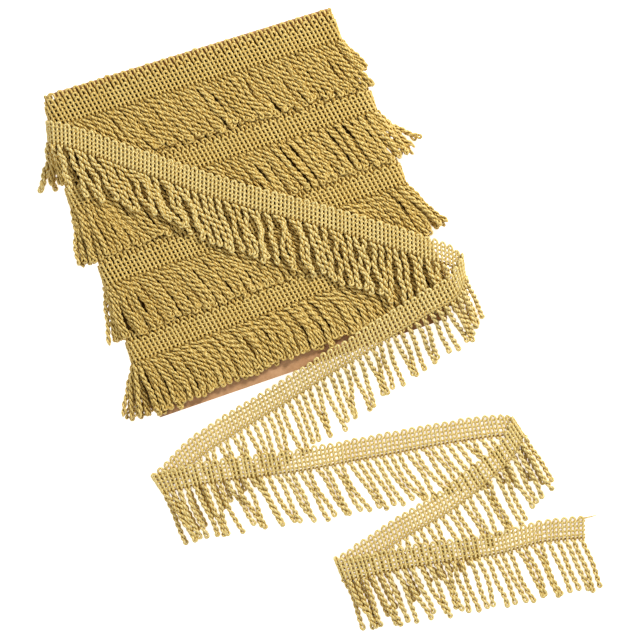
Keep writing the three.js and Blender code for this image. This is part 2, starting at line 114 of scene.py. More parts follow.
def add_node(
    tree: bpy.types.NodeTree,
    kind: str,
    settings: dict[str, object] | None = None,
    inputs: dict[str | int, object] | None = None,
    links: dict[str | int, bpy.types.NodeSocket] | None = None,
) -> bpy.types.Node:
    """Add one node with its settings, socket values and incoming links.

    Args:
        tree: The tree that gets the node.
        kind: The node's type name.
        settings: Attributes to set on the node.
        inputs: Values for its input sockets, by name or index.
        links: Output sockets of other nodes, by the input they feed.

    Returns:
        The new node.
    """
    node = tree.nodes.new(kind)
    for key, value in (settings or {}).items():
        setattr(node, key, value)
    for key, value in (inputs or {}).items():
        node.inputs[key].default_value = value
    for key, socket in (links or {}).items():
        tree.links.new(socket, node.inputs[key])
    return node


def new_material(name: str) -> bpy.types.Material:
    """Make a material with an empty node tree."""
    material = bpy.data.materials.new(name)
    material.use_nodes = True
    material.node_tree.nodes.clear()
    return material


def add_object(name: str, data: bpy.types.ID) -> bpy.types.Object:
    """Put an object into the scene, at the origin, unturned and unscaled.

    Args:
        name: The object's name.
        data: Its mesh, light or camera.

    Returns:
        The object.
    """
    obj = bpy.data.objects.new(name, data)
    bpy.context.scene.collection.objects.link(obj)
    return obj


@dataclass(frozen=True)
class RayonYarn:
    """Lustrous viscose rayon, plied and twisted: soft long highlights, and painted shade that darkens
    it where other yarn lies near.
    """

    name: str
    # colours from deep, the painted shade where other yarn lies near, to pale on what stands out
    deep: str
    mid: str
    pale: str
    roughness: float = 0.32
    painted_shade_reach: float = 2.2  # how near other yarn must lie to give it painted shade, in millimetres
    threads: float = 3.0  # finer threads laid together in the yarn
    thread_turn: float = 8.1  # one full turn of them, in millimetres
    thread_rise: float = 0.16  # of their bump, in millimetres
    fibre_long: float = 1 / 0.77  # length of a streak along the yarn, in millimetres
    fibre_round: float = 13.2  # streaks round the yarn
    painted_shade_share: float = 0.65  # shares of what moves the colour from deep to pale: painted shade from nearby yarn, then the threads, then the fibres
    # painted light and shade of the finer threads: paler on their crests, darker in their grooves
    thread_light_share: float = 0.19
    fibre_share: float = 0.3
    stops: tuple[float, float, float] = (0.15, 0.58, 0.92)  # where deep, mid and pale lie
    glint: str = "#ffe2a0"  # tint of its highlights
    bloom: str = "#f6e3ae"  # tint of its fine fibres at a low angle

    def material(self) -> bpy.types.Material:
        """Make the yarn's material.

        The colour is painted shade: it runs from deep in the crevices between plies, where other yarn
        lies near, to pale on what stands out, with each yarn's own shade and fine fibre streaks along
        it. The bump is the finer threads of a yarn, and the same wave paints their crests paler and
        their grooves darker. They twist against the plies, as the sine of threads * round - threads *
        along / turn, so that they run parallel to the strand.

        Returns:
            The material.
        """
        material = new_material(self.name)
        tree = material.node_tree
        shade = add_node(tree, "ShaderNodeAttribute", {"attribute_name": "yarn_shade"})
        place = add_node(tree, "ShaderNodeTexCoord")
        stretch = add_node(
            tree,
            "ShaderNodeMapping",
            inputs={"Scale": (1 / self.fibre_long, self.fibre_round, 1.0)},
            links={"Vector": place.outputs["UV"]},
        )
        fibre = add_node(
            tree,
            "ShaderNodeTexNoise",
            inputs={"Scale": 1.0, "Detail": 3.0, "Roughness": 0.6},
            links={"Vector": stretch.outputs[0]},
        )
        # painted shade: the yarn darkens where other yarn lies within reach
        painted_shade_reach = add_node(
            tree,
            "ShaderNodeAmbientOcclusion",
            {"samples": 4},
            {"Distance": self.painted_shade_reach * MM},
        )
        streaked = add_node(
            tree,
            "ShaderNodeMath",
            {"operation": "MULTIPLY_ADD"},
            {1: self.fibre_share},
            {0: fibre.outputs[0], 2: shade.outputs["Fac"]},
        )
        angle = add_node(
            tree,
            "ShaderNodeVectorMath",
            {"operation": "DOT_PRODUCT"},
            {1: (-2 * np.pi * self.threads / self.thread_turn, 2 * np.pi * self.threads, 0.0)},
            {0: place.outputs["UV"]},
        )
        thread = add_node(
            tree,
            "ShaderNodeMath",
            {"operation": "SINE"},
            links={0: angle.outputs["Value"]},
        )
        # painted light and shade on the threads, following their bump
        ridged = add_node(
            tree,
            "ShaderNodeMath",
            {"operation": "MULTIPLY_ADD"},
            {1: self.thread_light_share},
            {0: thread.outputs[0], 2: streaked.outputs[0]},
        )
        mixed = add_node(
            tree,
            "ShaderNodeMath",
            {"operation": "MULTIPLY_ADD"},
            {1: self.painted_shade_share},
            {0: painted_shade_reach.outputs["AO"], 2: ridged.outputs[0]},
        )
        ramp = add_node(tree, "ShaderNodeValToRGB", links={"Fac": mixed.outputs[0]})
        stops = ramp.color_ramp.elements
        deep_at, mid_at, pale_at = self.stops
        stops[0].position = deep_at
        stops[0].color = linear(self.deep)
        stops[1].position = pale_at
        stops[1].color = linear(self.pale)
        middle = stops.new(mid_at)
        middle.color = linear(self.mid)
        bump = add_node(
            tree,
            "ShaderNodeBump",
            inputs={"Strength": 0.7, "Distance": self.thread_rise * MM},
            links={"Height": thread.outputs[0]},
        )
        shader = add_node(
            tree,
            "ShaderNodeBsdfPrincipled",
            inputs={
                "Roughness": self.roughness,
                "IOR": 1.5,
                "Specular Tint": linear(self.glint),
                "Sheen Weight": 0.15,
                "Sheen Roughness": 0.4,
                "Sheen Tint": linear(self.bloom),
            },
            links={"Base Color": ramp.outputs[0], "Normal": bump.outputs[0]},
        )
        add_node(tree, "ShaderNodeOutputMaterial", links={"Surface": shader.outputs[0]})
        return material


@dataclass(frozen=True)
class KraftBoard:
    """Uncoated brown kraft board: matt, mottled, with short pale and dark fibres."""

    name: str = "kraft_board"
    light: str = "#c79a6f"
    dark: str = "#a97c52"
    mottle: float = 25 / 3  # size of its clouds, in millimetres
    fibre: float = 10 / 9  # length of its fibres, in millimetres

    def material(self) -> bpy.types.Material:
        """Make the board's material, whose clouds and fibres keep it from looking like plastic.

        Returns:
            The material.
        """
        material = new_material(self.name)
        tree = material.node_tree
        place = add_node(tree, "ShaderNodeTexCoord")
        mottle = add_node(
            tree,
            "ShaderNodeTexNoise",
            inputs={"Scale": 1 / (self.mottle * MM), "Detail": 5.0, "Roughness": 0.62},
            links={"Vector": place.outputs["Object"]},
        )
        fibre = add_node(
            tree,
            "ShaderNodeTexNoise",
            inputs={"Scale": 1 / (self.fibre * MM), "Detail": 3.0, "Distortion": 1.4},
            links={"Vector": place.outputs["Object"]},
        )
        mixed = add_node(
            tree,
            "ShaderNodeMath",
            {"operation": "MULTIPLY_ADD"},
            {1: 0.45},
            {0: fibre.outputs[0], 2: mottle.outputs[0]},
        )
        ramp = add_node(tree, "ShaderNodeValToRGB", links={"Fac": mixed.outputs[0]})
        stops = ramp.color_ramp.elements
        stops[0].position = 0.5
        stops[0].color = linear(self.dark)
        stops[1].position = 0.9
        stops[1].color = linear(self.light)
        bump = add_node(
            tree,
            "ShaderNodeBump",
            inputs={"Strength": 0.4, "Distance": 0.15 * MM},
            links={"Height": mixed.outputs[0]},
        )
        shader = add_node(
            tree,
            "ShaderNodeBsdfPrincipled",
            inputs={"Roughness": 0.9, "IOR": 1.45},
            links={"Base Color": ramp.outputs[0], "Normal": bump.outputs[0]},
        )
        add_node(tree, "ShaderNodeOutputMaterial", links={"Surface": shader.outputs[0]})
        return material


@dataclass(frozen=True)
class PaleFloor:
    """A smooth white studio table of opal glass, lit from below so that no shadow shows on it."""

    name: str = "pale_floor"
    colour: str = "#fbfbfb"
    glow: float = 0.75

    def material(self) -> bpy.types.Material:
        """Make the table's plain matt material, with the light that comes up through it.

        Returns:
            The material.
        """
        material = new_material(self.name)
        tree = material.node_tree
        shader = add_node(
            tree,
            "ShaderNodeBsdfPrincipled",
            inputs={
                "Base Color": linear(self.colour),
                "Roughness": 0.8,
                "Emission Color": (1.0, 1.0, 1.0, 1.0),
                "Emission Strength": self.glow,
            },
        )
        add_node(tree, "ShaderNodeOutputMaterial", links={"Surface": shader.outputs[0]})
        return material


@dataclass
class YarnBatch:
    """Tubes of yarn gathered into one mesh."""

    points: list[Floats] = field(default_factory=list)
    loops: list[NDArray[np.int64]] = field(default_factory=list)
    sizes: list[NDArray[np.int64]] = field(default_factory=list)
    uvs: list[Floats] = field(default_factory=list)
    shades: list[Floats] = field(default_factory=list)
    count: int = 0

    def add(
        self, centres: Floats, facing: Floats, radius: Floats | float, sides: int, shade: Floats
    ) -> None:
        """Add a tube round each of n centre lines of m points.

        A tube's ring at a point is centre + radius (cos a * facing' + sin a * across), where across
        is the tangent crossed with the facing direction and facing' completes the right angle.

        Args:
            centres: Points down the middles, n by m by 3, in millimetres.
            facing: A direction across each line at each point, the same shape.
            radius: The tube's radius, one number or n by m.
            sides: Faces round a tube.
            shade: A number from 0 to 1 for each tube that lightens its colour.
        """
        n, m, _ = centres.shape
        along = np.gradient(centres, axis=1)
        along /= np.maximum(np.linalg.norm(along, axis=2, keepdims=True), 1e-9)
        across = np.cross(along, facing)
        across /= np.maximum(np.linalg.norm(across, axis=2, keepdims=True), 1e-9)
        out = np.cross(across, along)
        angle = np.arange(sides) * 2 * np.pi / sides
        wide = np.broadcast_to(np.asarray(radius, float), (n, m))[:, :, None, None]
        turn = np.cos(angle)[:, None] * out[:, :, None] + np.sin(angle)[:, None] * across[:, :, None]
        rings = centres[:, :, None] + wide * turn
        base = self.count + (np.arange(n) * m * sides)[:, None, None]
        row = np.arange(m - 1)[None, :, None] * sides
        j = np.arange(sides)[None, None, :]
        k = (j + 1) % sides
        near = base + row
        far = near + sides
        quads = np.stack([near + j, far + j, far + k, near + k], axis=-1)
        start = self.count + (np.arange(n) * m * sides)[:, None] + np.arange(sides)
        end = start[:, ::-1] + (m - 1) * sides
        step = np.linalg.norm(np.diff(centres, axis=1, prepend=centres[:, :1]), axis=2)
        length = np.cumsum(step, axis=1)
        u = np.stack([length[:, :-1], length[:, 1:], length[:, 1:], length[:, :-1]], axis=-1)
        u = np.broadcast_to(u[:, :, None, :], (n, m - 1, sides, 4))
        share = np.stack([j, j, j + 1, j + 1], axis=-1) / sides
        v = np.broadcast_to(share, (n, m - 1, sides, 4))
        self.points.append(rings.reshape(-1, 3))
        self.loops += [quads.reshape(-1), start.reshape(-1), end.reshape(-1)]
        self.sizes += [np.full(n * (m - 1) * sides, 4), np.full(2 * n, sides)]
        caps = np.zeros((2 * n * sides, 2))
        self.uvs += [np.stack([u, v], axis=-1).reshape(-1, 2), caps]
        self.shades.append(np.repeat(shade, m * sides))
        self.count += n * m * sides

    def piece(self, name: str, material: bpy.types.Material) -> bpy.types.Object:
        """Put the gathered tubes into one mesh object.

        Args:
            name: The object's name.
            material: Its finish.

        Returns:
            The object, at the origin, in metres.
        """
        points = np.concatenate(self.points) * MM
        loops = np.concatenate(self.loops)
        sizes = np.concatenate(self.sizes)
        mesh = bpy.data.meshes.new(name)
        mesh.vertices.add(len(points))
        mesh.vertices.foreach_set("co", points.ravel())
        mesh.loops.add(len(loops))
        mesh.loops.foreach_set("vertex_index", loops)
        mesh.polygons.add(len(sizes))
        mesh.polygons.foreach_set("loop_start", np.concatenate([[0], np.cumsum(sizes)[:-1]]))
        mesh.polygons.foreach_set("use_smooth", np.ones(len(sizes), bool))
        mesh.update(calc_edges=True)
        mesh.uv_layers.new(name="yarn").data.foreach_set("uv", np.concatenate(self.uvs).ravel())
        shade = mesh.attributes.new("yarn_shade", "FLOAT", "POINT")
        shade.data.foreach_set("value", np.concatenate(self.shades))
        mesh.materials.append(material)
        LOG.info("%s: %d triangles", name, int((sizes - 2).sum()))
        return add_object(name, mesh)


class Strip(Protocol):
    """A length of heading that yarn can be laid on."""

    def at(self, s: Floats, w: Floats, lift: Floats | float = 0.0) -> tuple[Floats, Floats]:
        """Find places and outward directions from distances along, down and out of the strip."""

    def slant(self) -> float:
        """Give how far ribs move along for each millimetre down."""

    def loop_count(self) -> int:
        """Give how many loops fill the strip."""

    def pitch(self) -> float:
        """Give the distance from loop to loop that fills the strip exactly."""


@dataclass(frozen=True)
class Corner:
    """A corner of the card in its own plane, in millimetres from its middle."""

    u: float
    v: float


@dataclass(frozen=True)
class Card:
    """The hand-cut kraft board, a little wider at its foot."""

    centre: tuple[float, float] = (-53.2, 74.5)
    turn: float = np.radians(17.7)
    under: float = 6.6
    thick: float = 2.8
    top_left: Corner = Corner(-100.6, 119.9)
    top_right: Corner = Corner(98.6, 118.0)
    foot_right: Corner = Corner(113.0, -113.0)
    foot_left: Corner = Corner(-98.6, -118.0)

    def place(self, u: Floats, v: Floats, z: Floats) -> Floats:
        """Turn places in the card's plane into places in the object's frame.

        Args:
            u: Distances along the rows.
            v: Distances up the card.
            z: Heights over the surface.

        Returns:
            Points in millimetres.
        """
        c, s = np.cos(self.turn), np.sin(self.turn)
        x = self.centre[0] + c * u - s * v
        y = self.centre[1] + s * u + c * v
        return np.stack(np.broadcast_arrays(x, y, z), axis=-1) - MIDDLE_MM

    def direction(self, u: Floats, v: Floats, z: Floats) -> Floats:
        """Turn a direction in the card's plane into one in the object's frame."""
        c, s = np.cos(self.turn), np.sin(self.turn)
        return np.stack(np.broadcast_arrays(c * u - s * v, s * u + c * v, z), axis=-1)

    def left(self, v: Floats | float) -> Floats | float:
        """Give the card's left edge at a height v up it."""
        share = (self.top_left.v - v) / (self.top_left.v - self.foot_left.v)
        return self.top_left.u + share * (self.foot_left.u - self.top_left.u)

    def right(self, v: Floats | float) -> Floats | float:
        """Give the card's right edge at a height v up it."""
        share = (self.top_right.v - v) / (self.top_right.v - self.foot_right.v)
        return self.top_right.u + share * (self.foot_right.u - self.top_right.u)

    def dress(self) -> None:
        """Give the board from the frame its kraft finish."""
        board = frame_object("card")
        board.data.materials.clear()
        board.data.materials.append(KraftBoard().material())
        LOG.info("card: kraft finish")


def frame_object(node: str) -> bpy.types.Object:
    """Find the frame's object for a node."""
    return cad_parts[node]


@dataclass(frozen=True)
class Row:
    """One row of windings, in the card's plane, in millimetres and degrees."""

    name: str
    top: float  # height up the card of the outer turn's loops
    tilt: float  # how far they rise for each millimetre to the right
    lean: float  # of its strands, from straight down towards the right
    arching: float  # how much shorter they look at the row's right end, where they arch up
    bend: float  # how much more they lean at their tips than at their sewn ends
    reach_left: float  # how far it stands past the card's left edge
    reach_right: float
    edge_lean: float  # of the strands sewn at the right edge
    edge_long: float  # their length past the edge
    edge_fan: float  # how much more those further round that edge lean
    left_lean: float  # of the strands sewn at the left edge
    tiers: tuple[float, ...]  # how far the turns below show above its loops


ROWS = (
    Row(
        name="row_1",
        top=110.1,
        tilt=-0.013,
        lean=19.0,
        arching=0.0,
        bend=8.0,
        reach_left=11.2,
        reach_right=2.4,
        edge_lean=22.0,
        edge_long=26.0,
        edge_fan=0.0,
        left_lean=-22.0,
        tiers=(4.1, 8.3),
    ),
    Row(
        name="row_2",
        top=54.0,
        tilt=0.004,
        lean=22.0,
        arching=0.0,
        bend=-4.0,
        reach_left=15.6,
        reach_right=7.6,
        edge_lean=21.0,
        edge_long=37.0,
        edge_fan=44.0,
        left_lean=-14.0,
        tiers=(3.6, 7.2),
    ),
    Row(
        name="row_3",
        top=-2.4,
        tilt=0.022,
        lean=26.0,
        arching=0.0,
        bend=-15.0,
        reach_left=10.4,
        reach_right=8.0,
        edge_lean=24.0,
        edge_long=38.5,
        edge_fan=0.0,
        left_lean=-14.0,
        tiers=(4.2, 7.6),
    ),
    Row(
        name="row_4",
        top=-56.4,
        tilt=0.049,
        lean=32.0,
        arching=5.0,
        bend=-44.0,
        reach_left=8.8,
        reach_right=8.4,
        edge_lean=8.0,
        edge_long=38.5,
        edge_fan=0.0,
        left_lean=-36.0,
        tiers=(3.6, 7.0),
    ),
)


@dataclass(frozen=True)
class Layer:
    """How deep a layer of turns lies, in millimetres, and how its strands are spaced."""

    front: float  # height of its front
    back: float
    inset: float  # how far in from the outside of the windings
    shift: float = 0.0  # of its strands along the row, in loops
    spread: float = 7.0  # how far to each side of the left edge its strands fan out


OUTER_STRANDS = Layer(14.3, 1.9, 1.9, 0.5, 7.0)
INNER_STRANDS = (
    Layer(13.8, 2.7, 2.7, 1.0, 10.0),
    Layer(12.8, 3.8, 3.8, 0.25, 13.0),
    Layer(11.6, 5.0, 5.0, 0.75, 16.0),
)
FAN_STRANDS = (  # of more turns, that show at the left end
    Layer(13.8, 2.6, 2.6, 0.9, 7.0),
    Layer(12.7, 3.9, 3.9, 0.4, 10.0),
)
OUTER_HEADING = Layer(13.9, 2.4, 2.0)
TIERS = (Layer(12.4, 3.6, 3.2), Layer(11.1, 4.8, 4.2))
ROW_SHIFT = 1.3  # how much further along each row starts than the one above, in millimetres


def half_ellipse(reach: float, half: float) -> float:
    """Give the length of half an ellipse, about pi sqrt((reach^2 + half^2) / 2)."""
    return float(np.pi * np.sqrt((reach**2 + half**2) / 2))


@dataclass(frozen=True)
class Track:
    """The round trip of one layer of a row: front, right edge, back, left edge."""

    card: Card
    row: Row
    layer: Layer
    middle: float = 30.0  # of a row, below its loops

    def edges(self) -> tuple[float, float]:
        """Give the card's left and right edge at the row's middle."""
        v = self.row.top - self.middle
        return float(self.card.left(v)), float(self.card.right(v))

    def sizes(self) -> tuple[float, float, float, float]:
        """Give the flat length, the two side reaches and half the depth."""
        left, right = self.edges()
        half = (self.layer.front - self.layer.back) / 2
        reach_right = self.row.reach_right - self.layer.inset
        reach_left = self.row.reach_left - self.layer.inset
        return right - left, reach_right, reach_left, half

    def arcs(self) -> tuple[float, float]:
        """Give the lengths of the right and left turns, as half ellipses."""
        _, reach_right, reach_left, half = self.sizes()
        return half_ellipse(reach_right, half), half_ellipse(reach_left, half)

    def length(self) -> float:
        """Give the length of one full turn."""
        flat = self.sizes()[0]
        return 2 * flat + sum(self.arcs())

    def slant(self) -> float:
        """Give how far ribs move along the turn for each millimetre down."""
        return TRIM.rib_slant

    def loop_count(self) -> int:
        """Give how many loops fill the turn."""
        return round(self.length() / TRIM.pitch)

    def pitch(self) -> float:
        """Give the distance from loop to loop that closes the turn."""
        return self.length() / self.loop_count()

    def at(self, s: Floats, w: Floats, lift: Floats | float = 0.0) -> tuple[Floats, Floats]:
        """Find places on the layer.

        On the flats u runs evenly with s. On an edge the angle a runs evenly with s, and the place
        is (edge + reach cos a, middle + half sin a), a half ellipse.

        Args:
            s: Distances round the turn, from the front's left end.
            w: Distances below the row's loops.
            lift: How far out of the layer.

        Returns:
            Points, and the outward direction at each.
        """
        left, right = self.edges()
        flat, reach_right, reach_left, half = self.sizes()
        arc_right, arc_left = self.arcs()
        s, w = np.broadcast_arrays(np.mod(s, self.length()), w)
        middle = (self.layer.front + self.layer.back) / 2
        turn_right = np.pi / 2 - np.pi * (s - flat) / arc_right
        turn_left = -np.pi / 2 - np.pi * (s - 2 * flat - arc_right) / arc_left
        zones = [s < flat, s < flat + arc_right, s < 2 * flat + arc_right]
        reach = np.where(s < flat + arc_right, reach_right, reach_left)
        angle = np.select(zones, [np.pi / 2, turn_right, -np.pi / 2], turn_left)
        edge = np.select(zones, [left + s, right, right - (s - flat - arc_right)], left)
        out_u = np.cos(angle) / np.maximum(reach, 0.1)
        out_z = np.sin(angle) / half
        size = np.hypot(out_u, out_z)
        out_u, out_z = out_u / size, out_z / size
        on_edge = np.abs(np.cos(angle)) > 1e-6
        u = edge + np.where(on_edge, reach * np.cos(angle), 0.0) + lift * out_u
        z = middle + half * np.sin(angle) + lift * out_z
        v = self.row.top + self.row.tilt * u - w
        return self.card.place(u, v, z), self.card.direction(out_u, np.zeros_like(u), out_z)


@dataclass(frozen=True)
class Station:
    """A place on a run of the loose end: its loops' edge, leans and the heights of its two edges."""

    x: float
    y: float
    rib: float
    strand: float
    loops: float
    hem: float


FLAT = 1.15  # heights of the heading's middle: on the table, on the rows and on other strands
OVER_PACK = 17.6
OVER_STRANDS = 4.4


def late_rise(share: Floats) -> Floats:
    """Rise slowly and then steeply at the end, as 1 - (1 - t^4)^(1/4)."""
    return 1 - np.maximum(1 - share**4, 0.0) ** 0.25


@dataclass(frozen=True)
class RunLines:
    """A run's fine lines, point by point along it."""

    loops: Floats  # the loops' edge
    down: Floats  # from there to the hem
    lean: Floats  # of the strands
    at: Floats  # distance along the middle of the heading


@dataclass(frozen=True)
class Run:
    """One run of the loose end, from the outermost line of one fold to that of the next."""

    name: str
    stations: tuple[Station, ...]
    fold_behind: bool
    fold_ahead: bool
    gather: float = 0.55  # how much its strands' tips draw together
    curl: float = 6.0  # of its strands, in degrees
    shade: float = 0.0  # how much paler its strands are; below zero it is painted shade
    steps: int = 24  # fine steps between two stations

    def lines(self) -> RunLines:
        """Work out the run's edges as fine lines.

        The plan is a centripetal Catmull-Rom curve through the stations. Heights go evenly from
        station to station, and as 1 - (1 - t^4)^(1/4) into the outermost line of a fold.

        Returns:
            The lines.
        """
        table = np.array([[s.x, s.y, s.rib, s.strand, s.loops, s.hem] for s in self.stations])
        spans = len(table) - 1
        at = np.arange(spans * self.steps + 1) / self.steps
        span = np.minimum(at.astype(int), spans - 1)
        share = at - span
        rise = share.copy()
        if self.fold_ahead:
            rise = np.where(span == spans - 1, late_rise(share), rise)
        if self.fold_behind:
            rise = np.where(span == 0, 1 - late_rise(1 - share), rise)
        start, change = table[span], np.diff(table, axis=0)[span]
        even = start + share[:, None] * change
        risen = start + rise[:, None] * change
        _, _, rib, strand, _, _ = even.T
        _, _, _, _, loops_height, hem_height = risen.T
        plan = catmull_rom(table[:, :2], span, share)
        loops = np.column_stack([plan, loops_height]) - MIDDLE_MM
        drop = loops_height - hem_height
        rib = np.radians(rib)
        reach = np.sqrt(TRIM.heading**2 - drop**2)
        down = np.column_stack([np.sin(rib) * reach, -np.cos(rib) * reach, -drop])
        middle = loops + 0.5 * down
        step = np.linalg.norm(np.diff(middle, axis=0, prepend=middle[:1]), axis=1)
        return RunLines(loops, down, np.radians(strand), np.cumsum(step))


def catmull_rom(points: Floats, span: NDArray[np.int64], share: Floats) -> Floats:
    """Follow a centripetal Catmull-Rom curve, whose knots lie the square root of each chord apart.

    Args:
        points: The stations' places.
        span: Which span each wanted place is in.
        share: How far along that span it is.

    Returns:
        The places.
    """
    line = np.vstack([2 * points[0] - points[1], points, 2 * points[-1] - points[-2]])
    p0, p1, p2, p3 = (line[span + i] for i in range(4))
    chords = (p1 - p0, p2 - p1, p3 - p2)
    d0, d1, d2 = (np.sqrt(np.linalg.norm(chord, axis=1, keepdims=True)) for chord in chords)
    t1 = ((p1 - p0) / d0 - (p2 - p0) / (d0 + d1) + (p2 - p1) / d1) * d1
    t2 = ((p2 - p1) / d1 - (p3 - p1) / (d1 + d2) + (p3 - p2) / d2) * d1
    t = share[:, None]
    cubic = 2 * p1 - 2 * p2 + t1 + t2
    square = -3 * p1 + 3 * p2 - 2 * t1 - t2
    return p1 + t1 * t + square * t**2 + cubic * t**3


@dataclass
class LooseEnd:
    """The loose end's strip: all its runs and folds as one length of trim."""

    runs: tuple[Run, ...]
    starts: list[float] = field(init=False)  # where each run starts, and the end of the last
    along: Floats = field(init=False)  # distances of the points below
    loops: Floats = field(init=False)
    down: Floats = field(init=False)
    lean: Floats = field(init=False)
    out: Floats = field(init=False)  # out of the face

    def __post_init__(self) -> None:
        """Join the runs' lines into one, without each later run's first point, and find the face."""
        parts = [run.lines() for run in self.runs]
        self.starts = np.cumsum([0.0] + [part.at[-1] for part in parts]).tolist()
        first = [0] + [1] * (len(parts) - 1)
        pairs = list(zip(parts, first))
        moved = [part.at[i:] + start for (part, i), start in zip(pairs, self.starts)]
        self.along = np.concatenate(moved)
        self.loops = np.concatenate([part.loops[i:] for part, i in pairs])
        self.down = np.concatenate([part.down[i:] for part, i in pairs])
        self.lean = np.concatenate([part.lean[i:] for part, i in pairs])
        middle = self.loops + 0.5 * self.down
        tangent = np.gradient(middle, axis=0)
        out = np.cross(self.down, tangent)
        self.out = out / np.linalg.norm(out, axis=1, keepdims=True)

    def length(self) -> float:
        """Give the length of the strip."""
        return self.starts[-1]

    def slant(self) -> float:
        """Give no slant, because the runs' own tables lean their ribs."""
        return 0.0

    def loop_count(self) -> int:
        """Give how many loops fill the strip."""
        return round(self.length() / TRIM.pitch)

    def pitch(self) -> float:
        """Give the distance from loop to loop that fills the strip."""
        return self.length() / self.loop_count()

    def sample(self, values: Floats, s: Floats) -> Floats:
        """Read one of the strip's lines at distances along it."""
        read = [np.interp(s.ravel(), self.along, line) for line in values.T]
        return np.stack(read, axis=-1).reshape(*s.shape, values.shape[1])

    def at(self, s: Floats, w: Floats, lift: Floats | float = 0.0) -> tuple[Floats, Floats]:
        """Find places on the strip.

        Args:
            s: Distances along it.
            w: Distances below its loops.
            lift: How far out of its face.

        Returns:
            Points, and the direction out of the face at each.
        """
        s, w, lift = np.broadcast_arrays(s, w, lift)
        out = self.sample(self.out, s)
        place = self.sample(self.loops, s) + self.sample(self.down, s) * (w / TRIM.heading)[..., None]
        return place + out * lift[..., None], out


RUNS = (
    Run(
        "run_1",
        (
            Station(-187.4, 139.9, 6, -14, 3.0, 3.0),
            Station(-190.4, 138.4, 6, -14, 8.5, 8.5),
            Station(-186.9, 137.6, 5, -2, 15.4, 15.4),
            Station(-177.0, 136.0, 2, 26, OVER_PACK, OVER_PACK),
            Station(-138.6, 122.8, 0, 30, OVER_PACK, OVER_PACK),
            Station(-63.0, 97.3, -2, 18, OVER_PACK, OVER_PACK),
            Station(4.2, 79.1, 0, 11, OVER_PACK, OVER_PACK),
            Station(74.0, 57.6, 2, 8, OVER_PACK, OVER_PACK),
            Station(90.0, 51.9, 5, 12, 16.8, 16.0),
            Station(98.8, 45.4, 6, 22, 18.6, 17.4),
        ),
        fold_behind=False,
        fold_ahead=True,
        gather=0.1,
        curl=18.0,
        # painted shade: run 1's strands a little darker than the other runs
        shade=-0.04,
    ),
    Run(
        "run_2",
        (
            Station(98.8, 45.4, 6, 22, 18.6, 17.4),
            Station(88.5, 29.8, 26, 24, 22.0, 21.6),
            Station(67.6, 17.5, 30, 24, 21.4, 21.0),
            Station(39.2, 0.0, 24, 24, 18.4, 17.4),
            Station(21.0, -12.2, 22, 20, 17.6, 14.4),
            Station(4.9, -21.7, 20, 18, 14.0, 11.0),
            Station(-28.3, -43.4, 20, 20, 9.2, 5.0),
            Station(-64.4, -65.1, 22, 22, 2.6, FLAT),
            Station(-93.8, -85.0, 28, 23, FLAT, FLAT),
            Station(-111.3, -102.9, 33, 24, FLAT, FLAT),
            Station(-118.6, -108.6, 34, 28, 2.8, 2.8),
        ),
        fold_behind=True,
        fold_ahead=True,
    ),
    Run(
        "run_3",
        (
            Station(-118.6, -108.6, 34, 28, 2.8, 2.8),
            Station(-108.0, -105.2, 22, 24, OVER_STRANDS, OVER_STRANDS),
            Station(-79.8, -99.0, 14, 24, OVER_STRANDS, OVER_STRANDS),
            Station(-18.2, -91.0, 9, 27, OVER_STRANDS, OVER_STRANDS),
            Station(3.0, -87.2, 9, 30, OVER_STRANDS, 3.8),
            Station(19.0, -84.2, 9, 32, 1.8, FLAT),
            Station(45.8, -79.3, 8, 35, FLAT, FLAT),
            Station(91.0, -70.9, 8, 36, FLAT, FLAT),
            Station(124.0, -66.6, 16, 34, FLAT, FLAT),
            Station(134.6, -67.6, 33, 28, 2.8, 2.8),
        ),
        fold_behind=True,
        fold_ahead=True,
    ),
    Run(
        "run_4",
        (
            Station(134.6, -67.6, 33, 28, 2.8, 2.8),
            Station(128.1, -81.2, 33, 30, OVER_STRANDS, OVER_STRANDS),
            Station(110.6, -98.7, 33, 29, OVER_STRANDS, OVER_STRANDS),
            Station(84.7, -119.4, 27, 28, OVER_STRANDS, OVER_STRANDS),
            Station(67.0, -130.2, 24, 28, 3.4, 2.8),
            Station(52.3, -138.9, 22, 27, FLAT, FLAT),
            Station(19.9, -161.0, 22, 25, FLAT, FLAT),
            Station(10.2, -167.2, 23, 28, 2.8, 2.8),
        ),
        fold_behind=True,
        fold_ahead=True,
    ),
    Run(
        "run_5",
        (
            Station(10.2, -167.2, 23, 28, 2.8, 2.8),
            Station(20.4, -166.0, 18, 24, OVER_STRANDS, OVER_STRANDS),
            Station(58.8, -158.2, 12, 25, OVER_STRANDS, OVER_STRANDS),
            Station(123.5, -148.4, 9, 24, OVER_STRANDS, 3.6),
            Station(138.0, -144.4, 7, 23, OVER_STRANDS, 3.6),
            Station(152.0, -141.0, 5, 22, 1.8, FLAT),
            Station(162.0, -139.4, 4, 23, FLAT, FLAT),
            Station(185.5, -137.5, 1, 22, FLAT, FLAT),
        ),
        fold_behind=True,
        fold_ahead=False,
    ),
)


